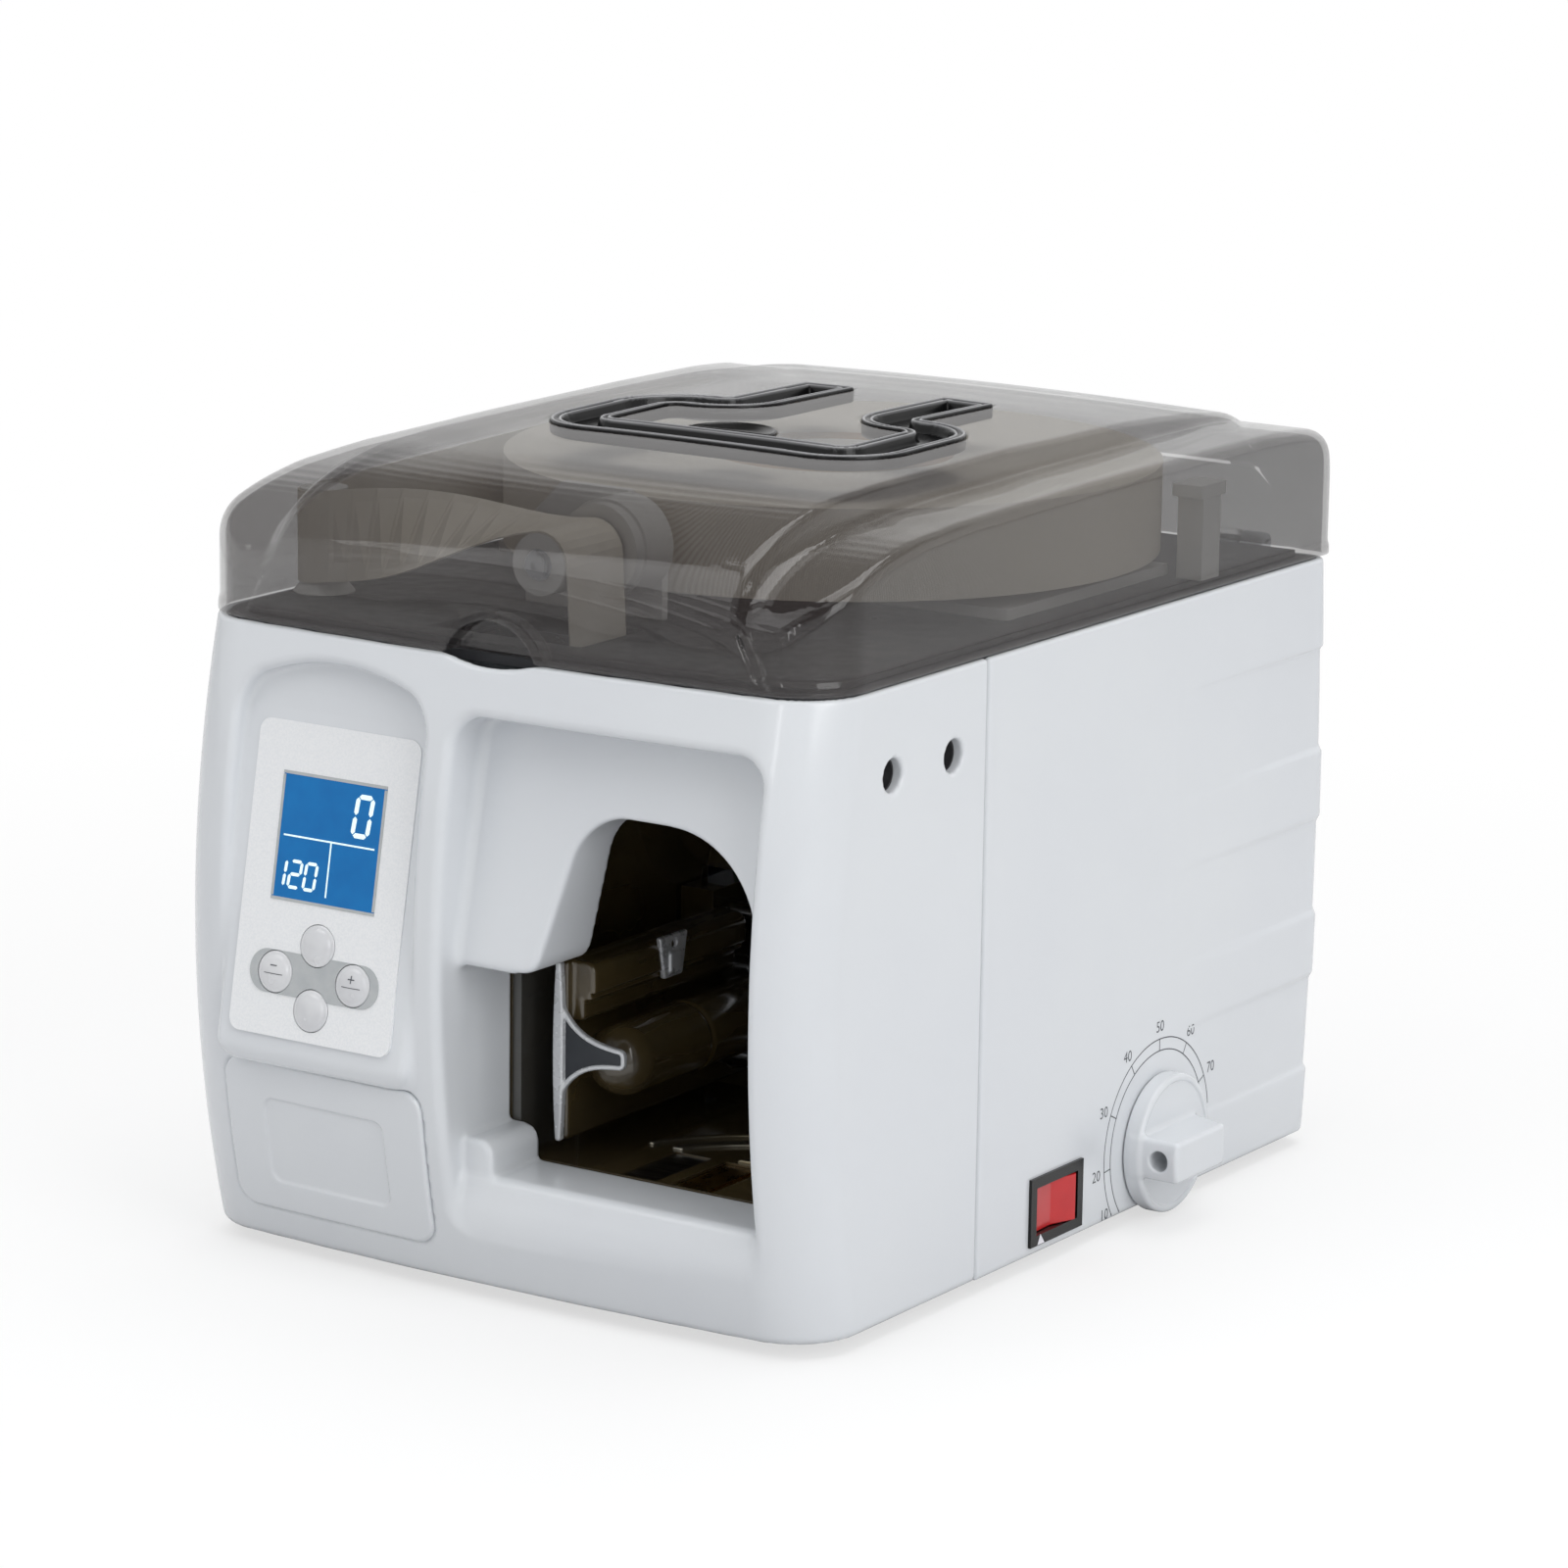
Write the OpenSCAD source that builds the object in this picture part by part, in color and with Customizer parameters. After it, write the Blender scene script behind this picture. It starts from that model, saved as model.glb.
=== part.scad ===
// Banknote strapping machine for the counter: a paper tape is drawn from a flat roll
// under the lid, led round a stack of notes in the bay, pulled tight, sealed and cut.
// Modelled in millimetres, +Z up. Shapes are drawn in the casing's frame (front corner
// line at y = 0, underside of the casing at z = 0) and moved by placed() so that the
// origin lies under the middle of the whole machine, on the surface it stands on.

/* [Casing] */
// Width of the casing across its sides
body_w = 228; // [224:1:240]
// Depth of the casing from the front corner line to the back wall
body_d = 299; // [297:1:320]
// Height of the casing from its underside to the lid seam
body_h = 190; // [190:1:200]
// Wall of the moulded shells
wall = 2.6; // [2:0.1:3.2]
// Radius of the front vertical corners
corner_r = 22; // [14:1:26]
// Radius of the back vertical corners
rear_r = 6; // [4:1:10]
// How far the front bulges out at half height
front_bulge = 12; // [8:1:14]
// How far the front bows out between its corners
front_crown = 3; // [1:0.5:5]
// How far the back wall draws in at its top and bottom
back_bulge = 4.5; // [2:0.5:6]
// Distance of the front cover's joint from the front
seam_y = 88; // [80:1:96]
// Gap between neighbouring mouldings
seam_gap = 0.4; // [0.2:0.1:0.8]
// Height of the rubber feet under the casing
foot_h = 4; // [4:0.5:8]
// Radius of a rubber foot
foot_r = 9; // [7:0.5:11]
// Depth of the stepped bands at the back edge
band_depth = 1.2; // [0.8:0.1:1.6]

/* [Note bay] */
// Distance of the bay's right side from the casing's right side
bay_margin = 18; // [16:0.5:20]
// Width of the bay
bay_w = 105.5; // [102:0.5:107]
// Height of the bay's floor
bay_floor = 34.4; // [33:0.2:36]
// Height where the bay's mouth starts below its floor
sill_z = 15; // [12:1:18]
// Depth of the bay's top edge under the lid seam
bay_drop = 17; // [15:1:22]
// Depth of the white part of the bay
bay_depth = 22; // [20:1:24]
// Height of the brow's lower edge over the open part
brow_z = 98; // [96:1:101]
// Lean of the brow from the vertical, in degrees
brow_lean = 12; // [9:1:14]
// Radius of the bay's corners
bay_r = 9; // [5:1:12]
// Length of the black liner behind the mouth
liner_len = 104; // [102:1:108]
// Wall of the black liner
liner_t = 2; // [1.6:0.1:2.4]

/* [Control panel] */
// Distance of the panel's middle from the casing's left side
panel_margin = 58.8; // [57:0.2:60]
// Width of the silver plate
plate_w = 60; // [58:0.5:62]
// Height of the silver plate along its slope
plate_h = 94; // [92:0.5:97]
// Lean of the panel from the vertical, in degrees
panel_tilt = 10.4; // [8:0.2:12]
// Side of the square display
lcd_size = 36.6; // [32:0.2:38]
// Diameter of a key
key_d = 12.6; // [11:0.2:13]
// How far a key goes in
key_travel = 0.8; // [0.4:0.1:1]
// Sideways distance of the outer keys from the middle one
key_pitch = 14.5; // [14:0.25:16]

/* [Lid] */
// Rise of the lid's side shoulders over the seam
shoulder_rise = 44; // [43:0.5:47]
// Height of the raised middle field over the shoulders
field_rise = 6.8; // [5:0.2:8]
// Half the width of the raised middle field
field_half_w = 82; // [78:1:84]
// Wall of the see-through lid
lid_wall = 2.4; // [2:0.1:2.8]
// Radius of the lid's hinge barrels
barrel_r = 3.5; // [3:0.1:4]
// Radius of the hinge pins
hinge_pin_r = 1.5; // [1.2:0.1:1.8]
// Width of the grip channel in the lid
channel_w = 19; // [15:0.5:20]

/* [Tape] */
// Width of the paper tape
tape_w = 28; // [24:0.5:28]
// Room between the full roll and the sides of the casing
roll_side = 11; // [11:1:16]
// Room in front of the full roll, for the rollers
roll_front = 75; // [75:1:82]
// Room behind the full roll
roll_back = 18; // [16:1:22]
// Radius of the roll's paper core
core_r = 38; // [34:1:42]
// Radius of the reel spindle
spindle_r = 25; // [20:1:27]
// Radius of the idler roller
idler_r = 9.3; // [8.5:0.1:9.8]
// Thickness of the tape strip as drawn
tape_t = 0.5; // [0.3:0.05:0.6]
// Radius of the guide post
post_r = 7.3; // [6:0.1:7.6]

/* [Dial and switch] */
// Distance of the dial's middle from the front
dial_y = 194.5; // [190:0.5:200]
// Height of the dial's middle
dial_z = 19.5; // [19.5:0.1:21]
// Radius of the knob
knob_r = 22; // [20:0.5:22]
// Thickness of the knob's disc
knob_t = 6; // [5:0.5:8]
// How far the knob's grip stands out of its disc
grip_out = 13; // [10:0.5:15]
// Thickness of the knob's grip
grip_t = 13; // [11:0.5:15]
// Radius of the dial shaft
dial_shaft_r = 4; // [3.5:0.1:4.5]
// Teeth on the dial's pinion, one millimetre of module each
dial_teeth = 36; // [34:1:36]
// Distance of the switch's middle from the front
switch_y = 132.8; // [130:0.2:136]
// Height of the switch's middle
switch_z = 14; // [13.5:0.1:16]
// Width of the switch opening
switch_w = 28; // [26:0.2:30]
// Height of the switch opening
switch_h = 19; // [17:0.2:20]

/* [Mechanism] */
// Radius of the press guide rods
rod_r = 4; // [3:0.1:4.2]
// Radius of the press screw
screw_r = 4; // [3:0.1:4.5]
// Sideways travel of the press plate
press_travel = 25; // [18:1:25]
// Radius of the tape feed roller
feed_r = 10; // [8:0.1:10.5]
// Radius of the tape pinch roller
pinch_r = 7; // [6:0.1:8]
// Teeth on the feed gear
feed_teeth = 32; // [28:1:32]
// Teeth on the feed motor's pinion
motor_teeth = 14; // [12:1:16]
// Running clearance of shafts in their bores
run_gap = 0.05; // [0.02:0.01:0.1]
// Gap between parts that pass each other
part_gap = 0.3; // [0.2:0.05:0.4]
// Thickness of the steel frames
steel_t = 1.5; // [1.2:0.1:2]
// Lift of the clamp jaw and of the sealing head
jaw_lift = 3; // [2:0.5:4]

/* [Hidden] */

$fn = 48;
half_w = body_w / 2;
bay_right = half_w - bay_margin;
bay_x = bay_right - bay_w;
bay_top = body_h - bay_drop;
bay_mid = bay_x + bay_w / 2;
module_mm = 1;
deck_z = body_h + 2;
deck_t = 3;
frame_top = body_h - deck_t;
base_z = 1;
base_t = 2;
floor_z = base_z + base_t;
lid_z = body_h + seam_gap;
knob_reach = knob_t + grip_out + part_gap;

// Panel frame: x across, y up the slope, z out of the panel
panel_x = panel_margin - half_w;
panel_foot_y = -17;
panel_foot_z = 69.5;
lcd_up = 60;
keys_up = 19.3;
key_rise = 9.7;
pod_skin = 3;
pod_depth = 14;
pod_foot = -10.5;
pod_lip = 4;
plate_t = 1;

// Lid hinge axis
hinge_y = body_d + barrel_r + 0.4;
hinge_z = body_h;
hinge_x = 72;
knuckle_l = 11.4;

// Whole machine's box, from which the origin is set
front_reach = -panel_foot_y - (pod_foot + pod_lip) * sin(panel_tilt);
back_reach = hinge_y + barrel_r;
shift_x = -knob_reach / 2;
shift_y = -(back_reach - front_reach) / 2;

// Tape path: the roll is as large as the room under the lid lets it be
roll_r = min(half_w - roll_side, (body_d - roll_front - roll_back) / 2);
roll_y = body_d - roll_back - roll_r;
roll_z = deck_z + 7.3;
tape_y = 35;
track_y = bay_depth + 2 + tape_w / 2;
tape_x = 10.2;
idler_x = tape_x - idler_r - part_gap;
idler_z = deck_z + 22.5;
post_x = -(half_w - 17.3);
post_y = 44;
post_drop = 3.8;
feed_z = frame_top - 19;
feed_x = tape_x - part_gap - feed_r;
pinch_x = tape_x + tape_t + part_gap + pinch_r;
feed_pitch_r = feed_teeth * module_mm / 2;
motor_pitch_r = motor_teeth * module_mm / 2;
motor_x = feed_x - feed_pitch_r - motor_pitch_r;

// Dial drive
pinion_r = dial_teeth * module_mm / 2;
rack_x = bay_right - 12;
rack_w = 6;
rack_z = dial_z + pinion_r;
stop_y = track_y + 21.7;

// Press
rod_y = stop_y + 56.3;
rod_low_z = 48;
rod_high_z = 92;
press_screw_y = rod_y + 17;
press_z = 70;
press_x = 3.5;
press_foot = 40;
press_head = 95;
left_x = bay_x - 8;
right_x = half_w - 12;
liner_y = bay_depth + 0.6;
liner_end = liner_y + liner_len;
arch_r = bay_w / 2;
arch_z = bay_top - 76;

// Moves a piece from the casing's frame to the part's own frame
module placed() {
    translate([shift_x, shift_y, foot_h]) children();
}

// Places children in the panel's frame
module on_panel() {
    translate([panel_x, panel_foot_y, panel_foot_z]) rotate([90 - panel_tilt, 0, 0]) children();
}

// Turns a drawing so that its x runs along X, its y along Z, and its height towards -Y from y
module facing_front(y, depth) {
    translate([0, y, 0]) rotate([90, 0, 0]) linear_extrude(depth) children();
}

// Turns a drawing so that its x runs along Y, its y along Z, and its height along +X from x
module facing_side(x, depth) {
    translate([x, 0, 0]) rotate([90, 0, 90]) linear_extrude(depth) children();
}

// Cylinder along +X
module rod_x(x, y, z, r, length) {
    translate([x, y, z]) rotate([0, 90, 0]) cylinder(r = r, h = length);
}

// Cylinder along +Y
module rod_y(x, y, z, r, length) {
    translate([x, y, z]) rotate([-90, 0, 0]) cylinder(r = r, h = length);
}

// Rectangle with round corners, about its middle
module rounded(w, h, r) {
    square([w - 2 * r, h], center = true);
    square([w, h - 2 * r], center = true);
    for (sx = [-1, 1], sy = [-1, 1])
        translate([sx * (w / 2 - r), sy * (h / 2 - r)]) circle(r);
}

function arc(cx, cy, r, from, to, steps) =
    [for (i = [0:steps]) let(a = from + (to - from) * i / steps) [cx + r * cos(a), cy + r * sin(a)]];

// Front line of the casing at a height
function front_y(z) = -front_bulge * (1 - pow((z - body_h * 0.51) / (body_h * 0.49), 2));

// Back line of the casing at a height
function back_y(z) = body_d - back_bulge * pow((z - body_h * 0.55) / (body_h * 0.5), 2);

// One level of the front moulding, drawn in by inset, clockwise from above
corner_steps = 8;
crown_steps = 8;
function casing_ring(z, inset, back) =
    let(w = half_w - inset, r = corner_r - inset, yf = front_y(z) + inset, xc = w - r)
    concat(
        [[w, back, z]],
        [for (i = [0:corner_steps]) let(a = -90 * i / corner_steps)
            [xc + r * cos(a), yf + r + r * sin(a), z]],
        [for (i = [1:crown_steps - 1]) let(x = xc * (1 - 2 * i / crown_steps))
            [x, yf - front_crown * (1 - pow(x / xc, 2)), z]],
        [for (i = [0:corner_steps]) let(a = -90 - 90 * i / corner_steps)
            [-xc + r * cos(a), yf + r + r * sin(a), z]],
        [[-w, back, z]]);

// Solid through a stack of rings with equal counts, each clockwise seen from above
module loft(rings) {
    n = len(rings[0]);
    m = len(rings);
    points = [for (ring = rings) each ring];
    sides = [for (k = [0:m - 2], i = [0:n - 1])
        let(j = (i + 1) % n, a = k * n + i, b = k * n + j)
        each [[a, b, b + n], [a, b + n, a + n]]];
    foot = [for (i = [n - 1:-1:0]) i];
    head = [for (i = [0:n - 1]) (m - 1) * n + i];
    polyhedron(points, concat([foot], sides, [head]));
}

// Front moulding's outer form
module casing_front(inset) {
    levels = [[0, 1.6], [1, 0.5], [2.6, 0], [22, 0], [40, 0], [58, 0], [76, 0], [97, 0],
        [116, 0], [134, 0], [152, 0], [171, 0], [body_h, 0]];
    loft([for (l = levels) casing_ring(l[0], l[1] + inset, seam_y - seam_gap / 2)]);
}

// Hollow of the front moulding
module casing_core() {
    levels = [-1, 25, 50, 75, 97, 120, 145, 170, body_h + 1];
    loft([for (z = levels) casing_ring(z, wall, seam_y + 1)]);
}

// Side section of the bay, grown by o
function bay_side(o, open) =
    let(brow_y = -6, back_top = brow_y + (bay_top - brow_z) * tan(brow_lean))
    [[-60, sill_z - o], [-8.5 + o, sill_z - o], [-2 + o, bay_floor - o],
        [bay_depth + open, bay_floor - o], [bay_depth + open, brow_z + o],
        [brow_y + o, brow_z + o], [back_top + o, bay_top + o], [-60, bay_top + o]];

module bay_block(o, open) {
    mid_z = (sill_z + bay_top) / 2;
    intersection() {
        facing_side(bay_x - o, bay_w + 2 * o) polygon(bay_side(o, open));
        facing_front(bay_depth + open + 1, 100)
            translate([bay_mid, mid_z]) rounded(bay_w + 2 * o, bay_top - sill_z + 2 * o, bay_r + o);
    }
}

// Rounded arch cut through the brow
module brow_arch() {
    left = bay_x + 21.5;
    right = bay_right - 3;
    top = bay_top - 26;
    facing_front(bay_depth + 8, 60)
        polygon(concat(
            [[right, brow_z - 4], [left, brow_z - 4]],
            arc(left, brow_z + 8, 8, -90, -15, 4),
            arc(left + 32, top - 18, 18, 165, 90, 8),
            arc(right - 35, top - 35, 35, 90, 0, 10)));
}

// Outline of the pod's face and of the recess over it: round corners and an arched head
module pod_outline(o) {
    half = plate_w / 2 + 5.5 + o;
    head = plate_h + 19 + o;
    foot = pod_foot - o;
    r = 8 + o;
    arch = 76 + o;
    rise = sqrt(pow(arch - r, 2) - pow(half - r, 2));
    middle = head - arch;
    turn = atan2(rise, half - r);
    polygon(concat(
        arc(half - r, foot + r, r, -90, 0, 6),
        arc(half - r, middle + rise, r, 0, turn, 5),
        arc(0, middle, arch, turn, 180 - turn, 10),
        arc(r - half, middle + rise, r, 180 - turn, 180, 5),
        arc(r - half, foot + r, r, 180, 270, 6)));
}

module service_field(o) {
    translate([panel_x, 0, 35]) rotate([90, 0, 0]) linear_extrude(40)
        rounded(76 + 2 * o, 48.6 + 2 * o, 7);
}

// Gear outline with straight-sided teeth
module gear_outline(teeth, slack) {
    r = teeth * module_mm / 2;
    outer = r + 0.8 * module_mm;
    root = r - 1.1 * module_mm;
    step = 360 / teeth;
    half = step * (0.25 - slack);
    polygon([for (i = [0:teeth - 1]) each [
        root * [cos(i * step - 0.36 * step), sin(i * step - 0.36 * step)],
        r * [cos(i * step - half), sin(i * step - half)],
        outer * [cos(i * step - 0.5 * half), sin(i * step - 0.5 * half)],
        outer * [cos(i * step + 0.5 * half), sin(i * step + 0.5 * half)],
        r * [cos(i * step + half), sin(i * step + half)],
        root * [cos(i * step + 0.36 * step), sin(i * step + 0.36 * step)]]]);
}

// Plan of a plate inside the casing, with round front corners
module inner_plan(inset, y0, y1) {
    w = half_w - inset;
    r = corner_r - inset;
    translate([-w, y0 + r]) square([2 * w, y1 - y0 - r]);
    translate([-w + r, y0]) square([2 * (w - r), r + 1]);
    for (s = [-1, 1])
        translate([s * (w - r), y0 + r]) circle(r);
}

module base_plate() {
    placed() color("silver") difference() {
        union() {
            translate([0, 0, base_z]) linear_extrude(base_t)
                inner_plan(wall + seam_gap, wall + 3, back_y(0) - wall - 2 * seam_gap);
            for (sx = [-1, 1], y = [70, body_d - 30])
                translate([sx * (half_w - 7), y, base_z]) cylinder(r = 2.6, h = 14);
        }
        for (sx = [-1, 1], y = [70, body_d - 30])
            translate([sx * (half_w - 7), y, base_z - 1]) cylinder(r = 1.4, h = 12);
        for (sx = [-1, 1], y = [30, body_d - 45])
            translate([sx * (half_w - 26), y, 0]) cylinder(r = 2.5, h = 10);
        translate([rack_x - 2, dial_y - pinion_r, 0]) cube([rack_w + 4, 2 * pinion_r, 6]);
    }
}

module rubber_feet() {
    placed() color("#222222")
        for (sx = [-1, 1], y = [30, body_d - 45])
            translate([sx * (half_w - 26), y, -foot_h]) {
                cylinder(r1 = foot_r - 1, r2 = foot_r, h = 1);
                translate([0, 0, 1]) cylinder(r = foot_r, h = foot_h + base_z - 1);
                cylinder(r = 2.5, h = foot_h + floor_z);
            }
}

module front_cover() {
    placed() color("#dfe4e8") difference() {
        union() {
            difference() {
                casing_front(0);
                casing_core();
            }
            intersection() {
                casing_front(0);
                bay_block(wall, 0);
            }
            intersection() {
                casing_front(0);
                on_panel() translate([0, 0, -pod_depth]) linear_extrude(40) pod_outline(wall);
            }
            on_panel() difference() {
                translate([0, 0, -pod_depth]) linear_extrude(pod_depth) pod_outline(0);
                translate([-60, pod_foot, -pod_lip]) rotate([-45, 0, 0]) translate([0, -20, -20])
                    cube([120, 20, 40]);
            }
            for (y = side_holes)
                rod_x(half_w - 8, y, side_hole_z, 7.5, 6);
        }
        on_panel() linear_extrude(30) pod_outline(0);
        rod_y(0, -40, body_h + dip_r - dip_depth, dip_r, 46, $fn = 96);
        on_panel() translate([0, 0, -pod_depth - 1]) linear_extrude(pod_depth + 1 - pod_skin)
            pod_outline(-wall);
        on_panel() translate([0, 0, -pod_skin - 1]) linear_extrude(10) {
            translate([0, lcd_up]) square(lcd_size + 1, center = true);
            for (p = key_places)
                translate(p) circle(d = key_d + 0.4);
        }
        bay_block(0, 1);
        brow_arch();
        for (y = side_holes)
            rod_x(half_w - 20, y, side_hole_z, side_hole_r, 30);
        intersection() {
            service_field(part_gap);
            difference() {
                translate([-150, -60, 0]) cube([300, 120, 80]);
                casing_front(0.9);
            }
        }
    }
    placed() color("#dfe4e8") intersection() {
        bay_block(0, 0);
        facing_front(bay_depth, bay_depth + 2) {
            translate([bay_x, bay_floor]) square([10.5, 5.6]);
            translate([bay_x, bay_floor]) square([5.5, 10.6]);
            translate([bay_x + 5.5, bay_floor + 5.6]) circle(5);
        }
    }
}

side_holes = [37, 69.7];
dip_w = 32;
dip_depth = 2.4;
dip_r = (dip_w * dip_w / 4 + dip_depth * dip_depth) / (2 * dip_depth);
side_hole_z = body_h - 26;
side_hole_r = 5;
key_places = [[0, keys_up + key_rise], [-key_pitch, keys_up], [key_pitch, keys_up],
    [0, keys_up - key_rise]];

module service_cover() {
    placed() color("#dfe4e8") difference() {
        intersection() {
            service_field(0);
            difference() {
                casing_front(-0.8);
                casing_front(0.9);
            }
        }
        difference() {
            translate([panel_x, 0, 34]) rotate([90, 0, 0]) linear_extrude(60) rounded(46, 27, 3);
            casing_front(-0.1);
        }
    }
}

// Upright bands of the back half, as [height, thickness]
bands = [[21.5, 30.5], [73, 31], [127, 33.5]];
inlet_x = -70;
inlet_z = 30;

module rear_block(o) {
    y0 = seam_y + seam_gap / 2;
    w = half_w - o;
    steps = 10;
    intersection() {
        translate([0, 0, -o]) linear_extrude(body_h + 2 * o) {
            translate([-w, y0 - o]) square([2 * w, body_d - rear_r - y0 + o]);
            translate([-w + rear_r - o, y0]) square([2 * (w - rear_r + o), body_d - y0 - o]);
            for (s = [-1, 1])
                translate([s * (half_w - rear_r), body_d - rear_r]) circle(rear_r - o);
        }
        facing_side(-half_w - 1, body_w + 2)
            polygon(concat([[y0 - o, -1], [y0 - o, body_h + 1]],
                [for (i = [steps:-1:0]) let(z = -1 + (body_h + 2) * i / steps) [back_y(z) - o, z]]));
    }
}

inlet_seat = back_y(inlet_z - 13);
module rear_housing() {
    placed() color("#dfe4e8") difference() {
        union() {
            difference() {
                rear_block(0);
                rear_block(wall);
            }
            translate([inlet_x - 19, inlet_seat - wall, inlet_z - 15]) cube([38, wall, 30]);
            for (s = [-1, 1])
                for (x = [hinge_x - knuckle_l / 2 - 9.3, hinge_x + knuckle_l / 2 + part_gap])
                    translate([min(s * x, s * (x + 9)), 0, 0]) {
                        rod_x(0, hinge_y, hinge_z, barrel_r, 9);
                        translate([0, back_y(body_h - 7) - 1.5, body_h - 7])
                            cube([9, hinge_y - back_y(body_h - 7) + 1.5, 6]);
                    }
        }
        for (s = [-1, 1])
            rod_x(s * hinge_x - 20, hinge_y, hinge_z, hinge_pin_r, 40);
        for (s = [-1, 1], b = bands)
            translate([0, 0, b[0]]) linear_extrude(b[1])
                polygon([[s * (half_w + 1), 200], [s * half_w, 200],
                    [s * (half_w - band_depth), body_d - 2], [s * (half_w - band_depth), body_d + 3],
                    [s * (half_w + 1), body_d + 3]]);
        translate([half_w - wall - 5, switch_y - switch_w / 2, switch_z - switch_h / 2])
            cube([20, switch_w, switch_h]);
        rod_x(half_w - 12, dial_y, dial_z, dial_shaft_r + 1, 30);
        translate([inlet_x - 14, body_d - 12, inlet_z - 10]) cube([28, 20, 20]);
        translate([inlet_x - 17, inlet_seat, inlet_z - 13]) cube([34, 20, 26]);
        for (x = [20:9:74])
            translate([x, body_d - 20, 120]) cube([3.2, 40, 36]);
        for (sx = [-1, 1], z = [12, body_h - 20])
            rod_y(sx * (half_w - 14), body_d - 20, z, 1.7, 40);
    }
}

module top_deck() {
    y0 = wall + 2.4;
    y1 = back_y(body_h) - wall - seam_gap;
    inset = wall + seam_gap;
    placed() color("#3c3e42") difference() {
        union() {
            translate([0, 0, frame_top]) linear_extrude(deck_t) inner_plan(inset, y0, y1);
            translate([0, 0, frame_top]) linear_extrude(deck_z - frame_top)
                inner_plan(inset + 6, y0 + 4, y1 - 4);
        }
        tape_slot(20);
        for (x = [-60, 60], y = [110, 250])
            translate([x, y, frame_top - 1]) cylinder(r = 1.6, h = 10);
    }
}

// Opening for the tape in the deck and in the frame under it
module tape_slot(h) {
    translate([-38, tape_y - tape_w / 2 - 1, frame_top - h / 2])
        cube([tape_x + 38 + 6, track_y - tape_y + tape_w + 2, h]);
}

module panel_plate() {
    placed() color("#d8dbdd") on_panel() difference() {
        translate([0, plate_h / 2]) linear_extrude(plate_t) rounded(plate_w, plate_h, 4);
        translate([0, lcd_up, -1]) linear_extrude(4) square(lcd_size + 2, center = true);
        for (p = key_places)
            translate([p[0], p[1], -1]) cylinder(d = key_d + 0.4, h = 4);
    }
}

module lcd_window() {
    placed() color("#1f7fd0") on_panel() translate([0, lcd_up, 0.1])
        linear_extrude(plate_t) rounded(lcd_size + 1.6, lcd_size + 1.6, 0.8);
}

module key_capsule() {
    placed() color("#b9bec3") on_panel() difference() {
        translate([0, keys_up, plate_t]) linear_extrude(0.3)
            rounded(2 * key_pitch + 19, 13, 6.4);
        for (p = key_places)
            translate([p[0], p[1], 0]) cylinder(d = key_d + 0.4, h = 4);
    }
}

// A round key: flange behind the cover, shank and domed cap
module key_at(place) {
    ball_r = 16;
    cap_z = 1.2;
    cap_r = key_d / 2;
    placed() color("#e9ecee") on_panel() translate([place[0], place[1], 0]) {
        translate([0, 0, -pod_skin - 1.6]) cylinder(r = cap_r + 1.5, h = 1.4);
        translate([0, 0, -pod_skin - 0.4]) cylinder(r = cap_r, h = pod_skin + 0.4 + cap_z);
        intersection() {
            translate([0, 0, cap_z - 0.2]) cylinder(r = cap_r, h = 3);
            translate([0, 0, cap_z - sqrt(ball_r * ball_r - cap_r * cap_r)]) sphere(ball_r);
        }
    }
}

module key_clear() {
    key_at(key_places[0]);
}

module key_minus() {
    key_at(key_places[1]);
}

module key_plus() {
    key_at(key_places[2]);
}

module key_enter() {
    key_at(key_places[3]);
}

module panel_board() {
    board_z = -9;
    placed() color("#2f6b3c") on_panel() {
        translate([-plate_w / 2, -2, board_z]) cube([plate_w, plate_h, 1.6]);
        translate([-lcd_size / 2, lcd_up - lcd_size / 2, board_z + 1])
            cube([lcd_size, lcd_size, -board_z - 1]);
        for (p = key_places)
            translate([p[0] - 3, p[1] - 3, board_z + 1.6])
                cube([6, 6, -pod_skin - 1.6 - key_travel - 0.1 - board_z - 1.6]);
    }
}

module switch_bezel() {
    lip = 1.2;
    placed() color("#1b1b1d") difference() {
        union() {
            translate([half_w, switch_y - switch_w / 2 - lip, switch_z - switch_h / 2 - lip])
                cube([1, switch_w + 2 * lip, switch_h + 2 * lip]);
            translate([half_w - 14, switch_y - switch_w / 2 + 0.2, switch_z - switch_h / 2 + 0.2])
                cube([14, switch_w - 0.4, switch_h - 0.4]);
        }
        translate([half_w - 9, switch_y - switch_w / 2 + 2, switch_z - switch_h / 2 + 2])
            cube([20, switch_w - 4, switch_h - 4]);
        translate([half_w - 3, switch_y, 0]) cylinder(r = 1.2 + run_gap, h = 60);
    }
}

rocker_tilt = 8;
module switch_rocker() {
    w = switch_w - 6;
    h = switch_h - 4 - 2 * part_gap;
    placed() color("#c8202a") translate([half_w - 3, switch_y, switch_z]) {
        translate([0, 0, -h / 2]) rotate([0, 0, -rocker_tilt]) linear_extrude(h)
            polygon([[-3, -w / 2 + 2], [2.4, -w / 2], [3.4, -w / 2 + 1], [1.6, 0],
                [3.4, w / 2 - 1], [2.4, w / 2], [-3, w / 2 - 2]]);
        translate([0, 0, -h / 2 - 1.6]) cylinder(r = 1.2, h = h + 3.2);
    }
}

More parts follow.
